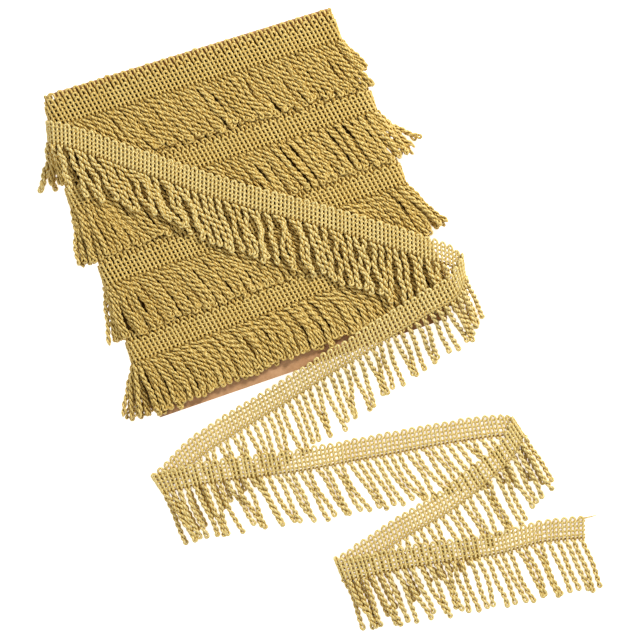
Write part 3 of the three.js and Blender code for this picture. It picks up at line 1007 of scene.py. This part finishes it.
@dataclass
class Laid:
    """Heights of what has been laid down so far, on a square grid."""

    cell: float = 1.0
    half: float = 245.0
    heights: Floats = field(init=False)

    def __post_init__(self) -> None:
        """Start with the bare surface."""
        across = int(2 * self.half / self.cell)
        self.heights = np.zeros((across, across))

    def cells(self, points: Floats) -> tuple[NDArray[np.int64], NDArray[np.int64]]:
        """Give the grid cell under each point."""
        index = ((points[..., :2] + self.half) / self.cell).astype(int)
        index = np.clip(index, 0, len(self.heights) - 1)
        return index[..., 0], index[..., 1]

    def lay(self, points: Floats, radius: float, top: Floats | float) -> None:
        """Raise the cells within a radius of each point to at least its top.

        Args:
            points: Places, any shape by 3.
            radius: How far round each the height holds.
            top: The height there.
        """
        reach = int(np.ceil(radius / self.cell))
        tops = np.broadcast_to(top, points.shape[:-1])
        for dx in range(-reach, reach + 1):
            for dy in range(-reach, reach + 1):
                if dx * dx + dy * dy <= (radius / self.cell) ** 2 + 0.5:
                    shift = np.array([dx * self.cell, dy * self.cell, 0.0])
                    np.maximum.at(self.heights, self.cells(points + shift), tops)

    def under(self, points: Floats) -> Floats:
        """Read the height under each point, the highest within a cell's width."""
        reads = [
            self.heights[self.cells(points + np.array([dx, dy, 0.0]))]
            for dx in (-1.0, 0.0, 1.0)
            for dy in (-1.0, 0.0, 1.0)
        ]
        return np.max(reads, axis=0)


def read_lines(lines: Floats, index: Floats) -> Floats:
    """Read places on lines of points, each on its own line.

    Args:
        lines: The lines, n by m by 3.
        index: Where to read each line, n by any number, in whole and part points.

    Returns:
        What lies there, evenly between the two points on either side.
    """
    low = index.astype(int)
    part = (index - low)[..., None]
    own = np.arange(len(lines))[:, None]
    return lines[own, low] * (1 - part) + lines[own, low + 1] * part


def smooth_noise(rng: np.random.Generator, count: int, width: int) -> Floats:
    """Draw random numbers that change slowly: the mean of each width of them."""
    return np.convolve(rng.normal(0, 1, count + width - 1), np.ones(width) / width, "valid")


def plies(
    axis: Floats, facing: Floats, phase: Floats, steps: int, twist: Twist
) -> tuple[Floats, Floats]:
    """Wind one yarn down and back up a strand's axis, with a small eye at its tip.

    The yarn's offset from the axis is r (cos f * side + sin f * facing). The angle f turns evenly
    with the distance down, once a turn's length, and stands still through the eye. The radius r is
    wide at the sewn end, then even, and swells and closes in the eye as sin(2b) and cos(b).

    Args:
        axis: The strands' axes, n by m by 3, evenly spaced.
        facing: A direction across each axis, the same shape.
        phase: The angle at which each strand starts.
        steps: Points down the twisted length.
        twist: How its plies lie.

    Returns:
        The yarn's middle line for each strand, and a facing direction for it.
    """
    n, m, _ = axis.shape
    length = np.linalg.norm(np.diff(axis, axis=1), axis=2).sum(axis=1)
    twisted = length - TRIM.eye_long
    distance = twisted[:, None] * np.linspace(0, 1, steps)
    spread = TRIM.rib_half - twist.helix
    radius = twist.helix + spread * np.exp(-distance / twist.closing)
    angle = phase[:, None] + 2 * np.pi * distance / twist.turn
    bend = np.linspace(0, np.pi / 2, 7)[1:]
    eye_distance = twisted[:, None] + TRIM.eye_long * np.sin(bend)
    swell = twist.helix * np.cos(bend) + (TRIM.eye - 0.75 * twist.helix) * np.sin(2 * bend)
    last = np.mod(angle[:, -1:] + np.pi / 2, np.pi) - np.pi / 2
    settle = angle[:, -1:] - last * np.minimum(1.4 * np.sin(bend), 1.0)
    distance = np.concatenate([distance, eye_distance], axis=1)
    radius = np.concatenate([radius, np.broadcast_to(swell, (n, len(bend)))], axis=1)
    angle = np.concatenate([angle, settle], axis=1)
    there = np.concatenate([distance, distance[:, -2::-1]], axis=1)
    side_of = np.concatenate([radius, -radius[:, -2::-1]], axis=1)
    turned = np.concatenate([angle, angle[:, -2::-1]], axis=1)
    index = np.clip(there / length[:, None] * (m - 1), 0, m - 1 - 1e-6)
    centre, face = read_lines(axis, index), read_lines(facing, index)
    tangent = read_lines(np.gradient(axis, axis=1), index)
    tangent /= np.linalg.norm(tangent, axis=2, keepdims=True)
    side = np.cross(tangent, face)
    side /= np.linalg.norm(side, axis=2, keepdims=True)
    face = np.cross(side, tangent)
    offset = np.cos(turned)[..., None] * side + np.sin(turned)[..., None] * face
    return centre + side_of[..., None] * offset, face


def clump(places: Floats, rng: np.random.Generator) -> Floats:
    """Draw neighbouring strands' tips together in clumps of one to four.

    Args:
        places: Distances along the strip of the strands' sewn ends, in order.
        rng: Seeded random numbers.

    Returns:
        How far each tip moves along the strip.
    """
    sizes = rng.choice([1, 2, 3, 4], len(places), p=[0.25, 0.35, 0.25, 0.15])
    group = np.repeat(np.arange(len(sizes)), sizes)[: len(places)]
    count = np.bincount(group)
    middle = np.bincount(group, places) / np.maximum(count, 1)
    return (middle[group] - places) * rng.uniform(0.3, 0.6, len(sizes))[group]


def heading_yarn(
    batch: YarnBatch,
    strip: Strip,
    first: float,
    face: Face,
    rng: np.random.Generator,
    swell: float = 1.0,
) -> None:
    """Lay the ribs and loops of a heading: one hairpin of yarn for each loop.

    A hairpin runs up one rib, round a half circle at the loops' edge and down the next rib. Its two
    ribs lie close together, and spread a little into the half circle. It weaves over and under
    the warps by a small wave across the face.

    Args:
        batch: Gathers the yarn.
        strip: The strip that it lies on.
        first: Distance along the strip of the first loop.
        face: How finely it is built.
        rng: Seeded random numbers.
        swell: How much thicker the yarn is than on the card.
    """
    ribs = 8 if face is Face.FULL else 4
    bends = 5 if face is Face.FULL else 4
    loops = strip.loop_count()
    up = np.linspace(TRIM.heading + 0.6, TRIM.arch, ribs)
    half = TRIM.rib_half + (TRIM.arch - TRIM.rib_half) * np.exp(-(up - TRIM.arch) / 2.5)
    bend = np.linspace(0, np.pi, bends + 2)[1:-1]
    offset = np.concatenate([-half, -TRIM.arch * np.cos(bend), half[::-1]])
    below = np.concatenate([up, TRIM.arch - TRIM.arch * np.sin(bend), up[::-1]])
    jitter = rng.normal(0, TRIM.rib_uneven, (loops, 1))
    rise = rng.normal(0, TRIM.loop_uneven, (loops, 1)) * np.clip(1 - below / 6, 0, 1)
    s = first + strip.pitch() * np.arange(loops)[:, None] + offset + jitter + strip.slant() * below
    w = np.broadcast_to(below, (loops, len(below))) + rise
    sign = np.where(offset > 0, 1.0, -1.0)
    over_two_warps = 2 * (TRIM.warps[1] - TRIM.warps[0])
    weave = 2 * np.pi * (below - TRIM.warps[0]) / over_two_warps
    lift = TRIM.rib_weave * sign * np.cos(weave)
    centres, facing = strip.at(s, w, lift)
    sides = 6 if face is Face.FULL else 5
    batch.add(centres, facing, TRIM.rib_radius * swell, sides, rng.uniform(0, 0.08, loops))


def warp_threads(batch: YarnBatch, strip: Strip, first: float, swell: float = 1.0) -> None:
    """Bind a heading with its fine warps and the thicker border cord under them.

    A warp shows in the gaps between ribs. It swings up and down as the cosine of a wave as long as
    one loop, and passes from side to side of the face as the sine of twice that. The border is two
    cords twisted once for each loop.

    Args:
        batch: Gathers the threads.
        strip: The strip that they lie on.
        first: Distance along the strip of the first loop.
        swell: How much thicker the threads are than on the card.
    """
    loops, pitch = strip.loop_count(), strip.pitch()
    s = first + np.linspace(-pitch / 2, pitch * (loops - 0.5), 4 * loops + 1)
    wave = 2 * np.pi * (s - first) / pitch
    for number, line in enumerate(TRIM.warps):
        w = line + TRIM.warp_wave * np.cos(wave + number * np.pi)
        lift = TRIM.warp_weave * np.sin(2 * wave + number * np.pi)
        centres, facing = strip.at(s[None] + strip.slant() * line, w[None], lift[None])
        batch.add(centres, facing, TRIM.warp_radius * swell, 4, np.array([0.0]))
    for side in (0.0, np.pi):
        w = TRIM.border + TRIM.border_wave * np.cos(wave + side)
        lift = TRIM.border_weave * np.sin(wave + side) - TRIM.border_sink
        centres, facing = strip.at(s[None] + strip.slant() * TRIM.border, w[None], lift[None])
        batch.add(centres, facing, TRIM.border_radius * swell, 5, np.array([0.0]))


# lit and shaded copies of one yarn: the rows' copy is darker, as painted shade, and the loose end's
# copy paler and yellower, as painted light
YARN_GOLD_SHADED = RayonYarn("rayon_yarn_gold_shaded", "#6a4400", "#caa144", "#e2cb82", painted_shade_reach=1.9)
YARN_GOLD_LIT = RayonYarn("rayon_yarn_gold_lit", "#94640a", "#cda84c", "#ead999", painted_shade_reach=1.5)
# dark brown yarn for the sleeve of inner turns: painted shade between the outer strands
YARN_CORE_SHADE = RayonYarn("rayon_yarn_core_shade", "#2e1d05", "#5f4312", "#775420", roughness=0.8)


@dataclass(frozen=True)
class Lie:
    """How strands lie on the card, where rows don't differ: in degrees, unless it says otherwise."""

    straighter: float = 0.6  # share of its lean that a strand beside the left edge loses
    back_lean: float = -12.0
    edge_bend: float = 7.0  # more lean at the tips of those sewn at the right edge
    back_bend: float = -4.0
    left_bend: float = 3.0
    fan_power: int = 5  # how late round the right edge the fan opens
    drift: float = 2.0  # lean that changes slowly along the row
    uneven: float = 1.2  # lean that changes from strand to strand
    uneven_bend: float = 2.5
    gather_front: float = 0.12  # how much tips draw together, as a share
    gather_rest: float = -1.0
    wave: tuple[float, float] = (6.0, 14.0)
    wave_turns: tuple[float, float] = (1.0, 3.0)  # waves in a strand's length
    ripple: tuple[float, float] = (-0.6, 1.0)  # rise at its middle, in millimetres
    pivot: float = 0.2  # share of its length where a bent strand has the row's own lean
    points: int = 20  # along its axis


LIE = Lie()


@dataclass(frozen=True)
class RowStrands:
    """The strands of one turn."""

    axes: Floats
    facing: Floats  # directions out of the turn
    shade: Floats  # how much paler each is
    seen: NDArray[np.bool_]  # whether the photo's view sees it


@dataclass
class WoundRows:
    """The turns of trim round the card, row by row, with the core of turns under them."""

    card: Card
    # the darker copy of the yarn, painted shade on the rows
    gold: bpy.types.Material
    # the sleeve's dark yarn, painted shade
    core: bpy.types.Material

    def core_rings(self, columns: int) -> Floats:
        """Work out the rings of the sleeve of inner turns, from row 1's loops to row 4's tips.

        Each row's rings follow its thickness: thin at its loops, thick under its heading and
        thinner under its strands. The last two close the sleeve with a wall 0.3 mm off the board.

        Args:
            columns: Points round a ring.

        Returns:
            The rings, in millimetres.
        """
        front, back, reach_inset = 13.6, 1.6, 1.5
        above, below = -4.0, 48.0
        profile = ((above, 3.6), (1.0, 2.0), (14.0, 2.0), (16.0, 3.8), (below, 3.8))
        wall = 0.3
        board_top = self.card.under + self.card.thick
        places = []
        for row in ROWS:
            for w, inset in profile:
                layer = Layer(front - inset, back + inset, reach_inset + inset)
                places.append((Track(self.card, row, layer), w))
        for row, w in ((ROWS[-1], below), (ROWS[0], above)):
            layer = Layer(board_top + wall, self.card.under - wall, row.reach_left - 0.4)
            places.append((Track(self.card, replace(row, reach_right=row.reach_left), layer), w))
        share = np.arange(columns) / columns
        rings = [track.at(share * track.length(), np.full(columns, w))[0] for track, w in places]
        return np.stack(rings)

    def core_piece(self) -> bpy.types.Object:
        """Make the sleeve of inner turns that the outer ones lie on, a grid of closed rings, in dark
        yarn that is painted shade between the strands.

        Returns:
            The sleeve.
        """
        columns = 240
        grid = self.core_rings(columns) * MM
        count = len(grid)
        i = np.arange(count)[:, None] * columns
        ahead = (np.arange(count)[:, None] + 1) % count * columns
        j = np.arange(columns)[None]
        k = (j + 1) % columns
        quads = np.stack([i + j, i + k, ahead + k, ahead + j], axis=-1).reshape(-1, 4)[:, ::-1]
        mesh = bpy.data.meshes.new("wound_core")
        mesh.from_pydata(grid.reshape(-1, 3).tolist(), [], quads.tolist())
        mesh.polygons.foreach_set("use_smooth", np.ones(len(quads), bool))
        shade = mesh.attributes.new("yarn_shade", "FLOAT", "POINT")
        shade.data.foreach_set("value", np.zeros(count * columns))
        uv = np.stack(np.broadcast_arrays(np.arange(count)[:, None] * 10.0, j * 1.0), axis=-1)
        vertex = np.empty(len(quads) * 4, int)
        mesh.loops.foreach_get("vertex_index", vertex)
        along_yarn = mesh.uv_layers.new(name="yarn")
        along_yarn.data.foreach_set("uv", uv.reshape(-1, 2)[vertex].ravel())
        mesh.materials.append(self.core)
        LOG.info("wound_core: %d triangles", 2 * len(quads))
        return add_object("wound_core", mesh)

    def strands(
        self, row: Row, layer: Layer, shift: float, rng: np.random.Generator
    ) -> RowStrands:
        """Lay one turn's strands round a row.

        Each runs flat from its sewn end, and leans more towards its tip. On the front they lean to
        the right and run straight on past the card's right edge. Those sewn to the edges stand
        out sideways, and those beside the left edge hang nearly straight down.

        Args:
            row: The row.
            layer: How deep the turn lies.
            shift: Distance along the turn of the first strand.
            rng: Seeded random numbers.

        Returns:
            The strands.
        """
        track = Track(self.card, row, layer)
        count = track.loop_count()
        sewn = shift + track.pitch() * np.arange(count)
        at = np.mod(sewn, track.length())
        flat, *_ = track.sizes()
        arc_right, arc_left = track.arcs()
        zones = [at < flat, at < flat + arc_right, at < 2 * flat + arc_right]
        share = 1 - LIE.straighter * np.exp(-((at / layer.spread) ** 2))
        before = np.exp((at - track.length()) / layer.spread)
        left_end = (1 - LIE.straighter) * row.lean
        left = row.left_lean + (left_end - row.left_lean) * before
        right = row.edge_lean + row.edge_fan * ((at - flat) / arc_right) ** LIE.fan_power
        lean = np.select(zones, [row.lean * share, right, LIE.back_lean], left)
        drift = smooth_noise(rng, count, 7)
        lean = np.radians(lean + LIE.drift * drift + rng.normal(0, LIE.uneven, count))
        gather = np.where(zones[0], LIE.gather_front, LIE.gather_rest)
        lean += gather * clump(sewn, rng) / TRIM.strand
        bend = np.select(zones, [row.bend * share, LIE.edge_bend, LIE.back_bend], LIE.left_bend)
        bend = np.radians(bend + rng.normal(0, LIE.uneven_bend, count))
        hanging = TRIM.strand - np.where(zones[0], row.arching * at / flat, 0.0)
        long = np.where(zones[1] & ~zones[0], row.edge_long, hanging)
        long = long + rng.normal(0, TRIM.strand_spread, count)
        t = np.linspace(0, 1, LIE.points)
        swing = np.radians(rng.uniform(*LIE.wave, count))[:, None]
        turns = rng.uniform(*LIE.wave_turns, count)[:, None]
        wave = swing * np.sin(2 * np.pi * (t * turns + rng.uniform(0, 1, count)[:, None]))
        angle = lean[:, None] + bend[:, None] * (t - LIE.pivot) + wave
        step = long[:, None] / (len(t) - 1)
        along = np.cumsum(np.sin(angle) * step, axis=1) - (np.sin(angle) * step)[:, :1]
        down = np.cumsum(np.cos(angle) * step, axis=1) - (np.cos(angle) * step)[:, :1]
        root, out = track.at(at, np.full(count, TRIM.heading + 0.3))
        ripple = rng.uniform(*LIE.ripple, count)[:, None] * np.sin(np.pi * t) ** 2
        level = np.clip(out[:, 2:], -1, 1) * ripple
        axes = root[:, None] + self.card.direction(along, -down, level)
        facing = np.broadcast_to(out[:, None], axes.shape)
        seen = ~zones[2] | zones[1]
        if layer in FAN_STRANDS:
            seen = (at < 2 * layer.spread) | (at > track.length() - 2 * layer.spread)
        return RowStrands(axes, facing, rng.uniform(0, 0.1, count), seen)

    def build(self) -> None:
        """Build the core and all four rows, and let them stand for their solids."""
        core = self.core_piece()
        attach(core, "root")
        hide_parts("wound_rows")
        for index, row in enumerate(ROWS):
            rng = np.random.default_rng(SEED + index)
            strands = self.row_strands(row, index, rng)
            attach(strands, "root")
            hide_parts(row.name + "_fringe")
            self.heading(row, index, rng)

    def row_strands(self, row: Row, index: int, rng: np.random.Generator) -> bpy.types.Object:
        """Build all the strands of a row that show, layer by layer, and the outer ones on its back.

        Args:
            row: The row.
            index: Its number from the top.
            rng: Seeded random numbers.

        Returns:
            The strands as one piece.
        """
        batch = YarnBatch()
        for depth, layer in enumerate((OUTER_STRANDS, *INNER_STRANDS, *FAN_STRANDS)):
            laid = self.strands(row, layer, ROW_SHIFT * index + TRIM.pitch * layer.shift, rng)
            phase = rng.uniform(0, np.pi, len(laid.axes))
            for seen in (True, False):
                take = laid.seen == seen
                if depth and not seen:
                    continue
                fine = seen and depth == 0
                steps, sides = (30, 6) if fine else (20, 4)
                line, reference = plies(
                    laid.axes[take], laid.facing[take], phase[take], steps, TIGHT
                )
                batch.add(line, reference, TIGHT.ply, sides, laid.shade[take])
        return batch.piece(row.name + "_strands", self.gold)

    def heading(self, row: Row, index: int, rng: np.random.Generator) -> None:
        """Build a row's heading: its ribs and loops, warps, and the loops of the turns below.

        Args:
            row: The row.
            index: Its number from the top.
            rng: Seeded random numbers.
        """
        track = Track(self.card, row, OUTER_HEADING)
        first = ROW_SHIFT * index - TRIM.pitch / 2
        yarn = YarnBatch()
        heading_yarn(yarn, track, first, Face.FULL, rng)
        ribs = yarn.piece(row.name + "_heading", self.gold)
        threads = YarnBatch()
        warp_threads(threads, track, first)
        warps = threads.piece(row.name + "_warps", self.gold)
        below = YarnBatch()
        for tier, (rise, layer) in enumerate(zip(row.tiers, TIERS)):
            under = Raised(Track(self.card, row, layer), rise)
            heading_yarn(below, under, 2.1 + 1.7 * tier, Face.PLAIN, rng)
        tiers = below.piece(row.name + "_inner_loops", self.gold)
        for piece in (ribs, warps, tiers):
            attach(piece, "root")
        track.length() * MM


@dataclass(frozen=True)
class Raised:
    """A turn that sits a little higher up the card than the one over it."""

    track: Track
    rise: float

    def slant(self) -> float:
        """Give how far ribs move along the turn for each millimetre down."""
        return self.track.slant()

    def loop_count(self) -> int:
        """Give how many loops fill the turn."""
        return self.track.loop_count()

    def pitch(self) -> float:
        """Give the distance from loop to loop that closes the turn."""
        return self.track.pitch()

    def at(self, s: Floats, w: Floats, lift: Floats | float = 0.0) -> tuple[Floats, Floats]:
        """Find places on the turn, as Track.at does."""
        return self.track.at(s, w - self.rise, lift)


@dataclass
class LooseTrim:
    """The loose end of the trim: heading, warps and the strands of each run."""

    card: Card
    # the paler copy of the yarn, painted light on the loose end
    yarn: bpy.types.Material
    laid: Laid
    drift: float = 4.0  # lean that changes slowly along a run, in degrees
    uneven: float = 1.6  # lean that changes from strand to strand
    uneven_bend: float = 7.0
    uneven_turn: float = 0.4  # of the plies at the sewn end, in radians
    pivot: float = 0.3  # share of its length where a bent strand has the run's own lean
    press: float = 0.5  # how far strands sink into what lies under them, in millimetres

    def lay_pack(self) -> None:
        """Put the heights of the windings and the card on the grid."""
        step = 0.8
        v, u = np.meshgrid(np.arange(-118, 119, step), np.arange(-101, 114, step), indexing="ij")
        on_card = (u > self.card.left(v)) & (u < self.card.right(v))
        flat = self.card.place(u[on_card], v[on_card], np.zeros(on_card.sum()))
        self.laid.lay(flat, step, self.card.under + self.card.thick)
        loops_top, heading_top, strands_top = 13.2, 14.6, 16.0
        for row in ROWS:
            w, u = np.meshgrid(np.arange(-6, 50, step), np.arange(-109, 122, step), indexing="ij")
            v = row.top + row.tilt * u - w
            left = self.card.left(v) - row.reach_left
            right = self.card.right(v) + row.reach_right
            inside = (u > left) & (u < right)
            top = np.select([w < -0.5, w < TRIM.heading], [loops_top, heading_top], strands_top)
            self.laid.lay(self.card.place(u[inside], v[inside], 0 * u[inside]), step, top[inside])

    def settle(self, root: Floats, way: Floats, long: Floats, floor: float) -> Floats:
        """Let strands down on what lies under them.

        A strand's height at a place is the most that any place on it needs, less a slope times the
        distance between them, so it bridges hollows and bends softly. It is then evened out.

        Args:
            root: Where each strand starts, n by 3.
            way: Places along each strand in plan from its start, n by m by 2, for a unit length.
            long: The strands' lengths.
            floor: The lowest height of a strand's middle.

        Returns:
            The strands' axes, n by m by 3.
        """
        n, m, _ = way.shape
        axes = np.zeros((n, m, 3))
        plan = long.copy()
        share = np.linspace(0, 1, m)
        slope = 0.75 * long[:, None, None] * np.abs(share[:, None] - share[None, :])
        kernel = np.array([1, 2, 3, 2, 1]) / 9
        for _ in range(3):
            axes[..., :2] = root[:, None, :2] + way * plan[:, None, None]
            need = np.maximum(self.laid.under(axes) + floor, floor)
            need[:, 0] = root[:, 2]
            height = np.max(need[:, None, :] - slope, axis=2)
            padded = np.pad(height, ((0, 0), (2, 2)), mode="edge")
            smooth = sum(kernel[i] * padded[:, i : i + m] for i in range(len(kernel)))
            pressed = np.maximum(self.laid.under(axes) + floor - self.press, floor)
            axes[..., 2] = np.maximum(smooth, pressed)
            axes[:, 0, 2] = root[:, 2]
            real = np.linalg.norm(np.diff(axes, axis=1), axis=2).sum(axis=1)
            plan = plan * long / real
        return axes

    def run_strands(self, end: LooseEnd, index: int, rng: np.random.Generator) -> bpy.types.Object:
        """Build the strands of one run, laid on all that came before.

        Args:
            end: The loose end.
            index: Which run.
            rng: Seeded random numbers.

        Returns:
            The strands as one piece.
        """
        run = end.runs[index]
        every = end.pitch() * (0.5 + np.arange(end.loop_count()))
        s = every[(every >= end.starts[index]) & (every < end.starts[index + 1])]
        count = len(s)
        root, _ = end.at(s, np.full(count, TRIM.heading + 0.4))
        drift = smooth_noise(rng, count, 5)
        lean = np.interp(s, end.along, end.lean)
        lean += np.radians(self.drift * drift + rng.normal(0, self.uneven, count))
        lean += run.gather * clump(s, rng) / TRIM.strand
        bend = np.radians(rng.normal(0, self.uneven_bend, count))
        long = TRIM.strand + rng.normal(0, TRIM.strand_spread, count)
        t = np.linspace(0, 1, 24)
        turns = rng.uniform(0.8, 0.9 + 0.1 * run.curl, count)[:, None]
        swing = np.radians(run.curl * rng.uniform(0.5, 1.5, count))[:, None]
        wave = swing * np.sin(2 * np.pi * (t * turns + rng.uniform(0, 1, count)[:, None]))
        angle = lean[:, None] + bend[:, None] * (t - self.pivot) + wave
        step = np.stack([np.sin(angle), -np.cos(angle)], axis=-1) / (len(t) - 1)
        way = np.cumsum(step, axis=1) - step[:, :1]
        axes = self.settle(root, way, long, LOOSE.ply + LOOSE.helix)
        facing = np.broadcast_to(UP, axes.shape)
        phase = rng.uniform(-self.uneven_turn, self.uneven_turn, count)
        line, reference = plies(axes, facing, phase, 30, LOOSE)
        line[..., 2] = np.maximum(line[..., 2], LOOSE.ply)
        batch = YarnBatch()
        batch.add(line, reference, LOOSE.ply, 6, run.shade + rng.uniform(0, 0.1, count))
        along = np.linspace(end.starts[index], end.starts[index + 1], 400)
        face, _ = end.at(along[:, None], np.linspace(0, TRIM.heading, 16)[None])
        self.laid.lay(face, 0.8, face[..., 2] + TRIM.rib_radius + 0.2)
        self.laid.lay(axes, LOOSE.helix + LOOSE.ply, axes[..., 2] + 1.5)
        return batch.piece(run.name + "_strands", self.yarn)

    def cut_thread(self, batch: YarnBatch, end: LooseEnd) -> None:
        """Let the last warp run out past the cut end, as a thread that thins to a point.

        Args:
            batch: Gathers the thread.
            end: The loose end.
        """
        share = np.linspace(0, 1, 9)
        start, _ = end.at(np.array([end.length() - 5.0]), np.array([1.0]))
        past = np.stack([13.5 * share, 2.6 * share**1.5, 0.4 * np.sin(np.pi * share)], axis=-1)
        line = (start + past)[None]
        thin = TRIM.warp_radius * (1.0 - 0.6 * share**2)[None]
        batch.add(line, np.broadcast_to(UP, line.shape), thin, 5, np.array([0.0]))

    def build(self) -> None:
        """Build the loose end and let it stand for its solids."""
        end = LooseEnd(RUNS)
        rng = np.random.default_rng(SEED + 10)
        first = end.pitch() / 2
        ribs = YarnBatch()
        heading_yarn(ribs, end, first, Face.FULL, rng, TRIM.loose_swell)
        heading = ribs.piece("loose_heading_yarn", self.yarn)
        threads = YarnBatch()
        warp_threads(threads, end, first, TRIM.loose_swell)
        self.cut_thread(threads, end)
        warps = threads.piece("loose_warps", self.yarn)
        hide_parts("loose_heading")
        self.lay_pack()
        strands = []
        for index, run in enumerate(RUNS):
            piece = self.run_strands(end, index, rng)
            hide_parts(run.name + "_fringe")
            strands.append(piece)
        for piece in (heading, warps, *strands):
            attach(piece, "root")
        end.length() * MM
        LOG.info("loose end: %.0f mm of trim, %d loops", end.length(), end.loop_count())


@dataclass(frozen=True)
class Studio:
    """A pale table, soft lights and a camera straight above."""

    frame_mm: float = 448.0  # width of the photo's frame on the table
    lens: float = 135.0
    sensor: float = 36.0

    def camera(self) -> None:
        """Look straight down on the middle of the photo's frame."""
        data = bpy.data.cameras.new("camera")
        data.lens = self.lens
        data.sensor_width = self.sensor
        data.clip_end = 20.0
        camera = add_object("camera", data)
        distance = self.frame_mm * MM * self.lens / self.sensor
        camera.location = Vector((-MIDDLE_MM[0] * MM, -MIDDLE_MM[1] * MM, distance))
        bpy.context.scene.camera = camera

    def area_light(
        self, name: str, place: tuple[float, float, float], size: float, power: float
    ) -> None:
        """Add one square soft light that faces the object.

        Args:
            name: The light's name.
            place: Where it stands, in metres.
            size: Its width.
            power: Its power in watts.
        """
        data = bpy.data.lights.new(name, "AREA")
        data.size = size
        data.energy = power
        light = add_object(name, data)
        light.location = place
        light.rotation_euler = (-Vector(place)).to_track_quat("-Z", "Y").to_euler()

    def build(self) -> None:
        """Build the table, lights, background and camera."""
        self.camera()
        mesh = bpy.data.meshes.new("table")
        half = 4.0
        corners = [(-half, -half, 0.0), (half, -half, 0.0), (half, half, 0.0), (-half, half, 0.0)]
        mesh.from_pydata(corners, [], [(0, 1, 2, 3)])
        mesh.materials.append(PaleFloor().material())
        add_object("table", mesh)
        self.area_light("key", (0.85, 1.05, 1.0), 0.35, 28.0)
        self.area_light("fill", (-0.9, -1.0, 1.5), 1.6, 13.0)
        world = bpy.data.worlds.new("studio")
        world.use_nodes = True
        sky = world.node_tree.nodes["Background"]
        sky.inputs["Color"].default_value = (1.0, 1.0, 1.0, 1.0)
        sky.inputs["Strength"].default_value = 0.4
        bpy.context.scene.world = world
        bpy.context.scene.view_settings.view_transform = "Standard"


def main() -> None:
    """Build every part in order."""
    logging.basicConfig(level=logging.INFO, format="%(message)s")
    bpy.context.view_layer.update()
    Studio().build()
    card = Card()
    card.dress()
    WoundRows(card, YARN_GOLD_SHADED.material(), YARN_CORE_SHADE.material()).build()
    LooseTrim(card, YARN_GOLD_LIT.material(), Laid()).build()


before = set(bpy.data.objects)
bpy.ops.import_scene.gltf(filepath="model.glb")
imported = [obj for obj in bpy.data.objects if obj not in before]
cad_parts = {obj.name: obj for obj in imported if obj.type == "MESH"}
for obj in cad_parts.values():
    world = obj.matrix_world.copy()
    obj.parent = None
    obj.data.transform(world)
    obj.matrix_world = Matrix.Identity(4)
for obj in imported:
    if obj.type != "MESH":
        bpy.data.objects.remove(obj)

if __name__ == "__main__":
    main()
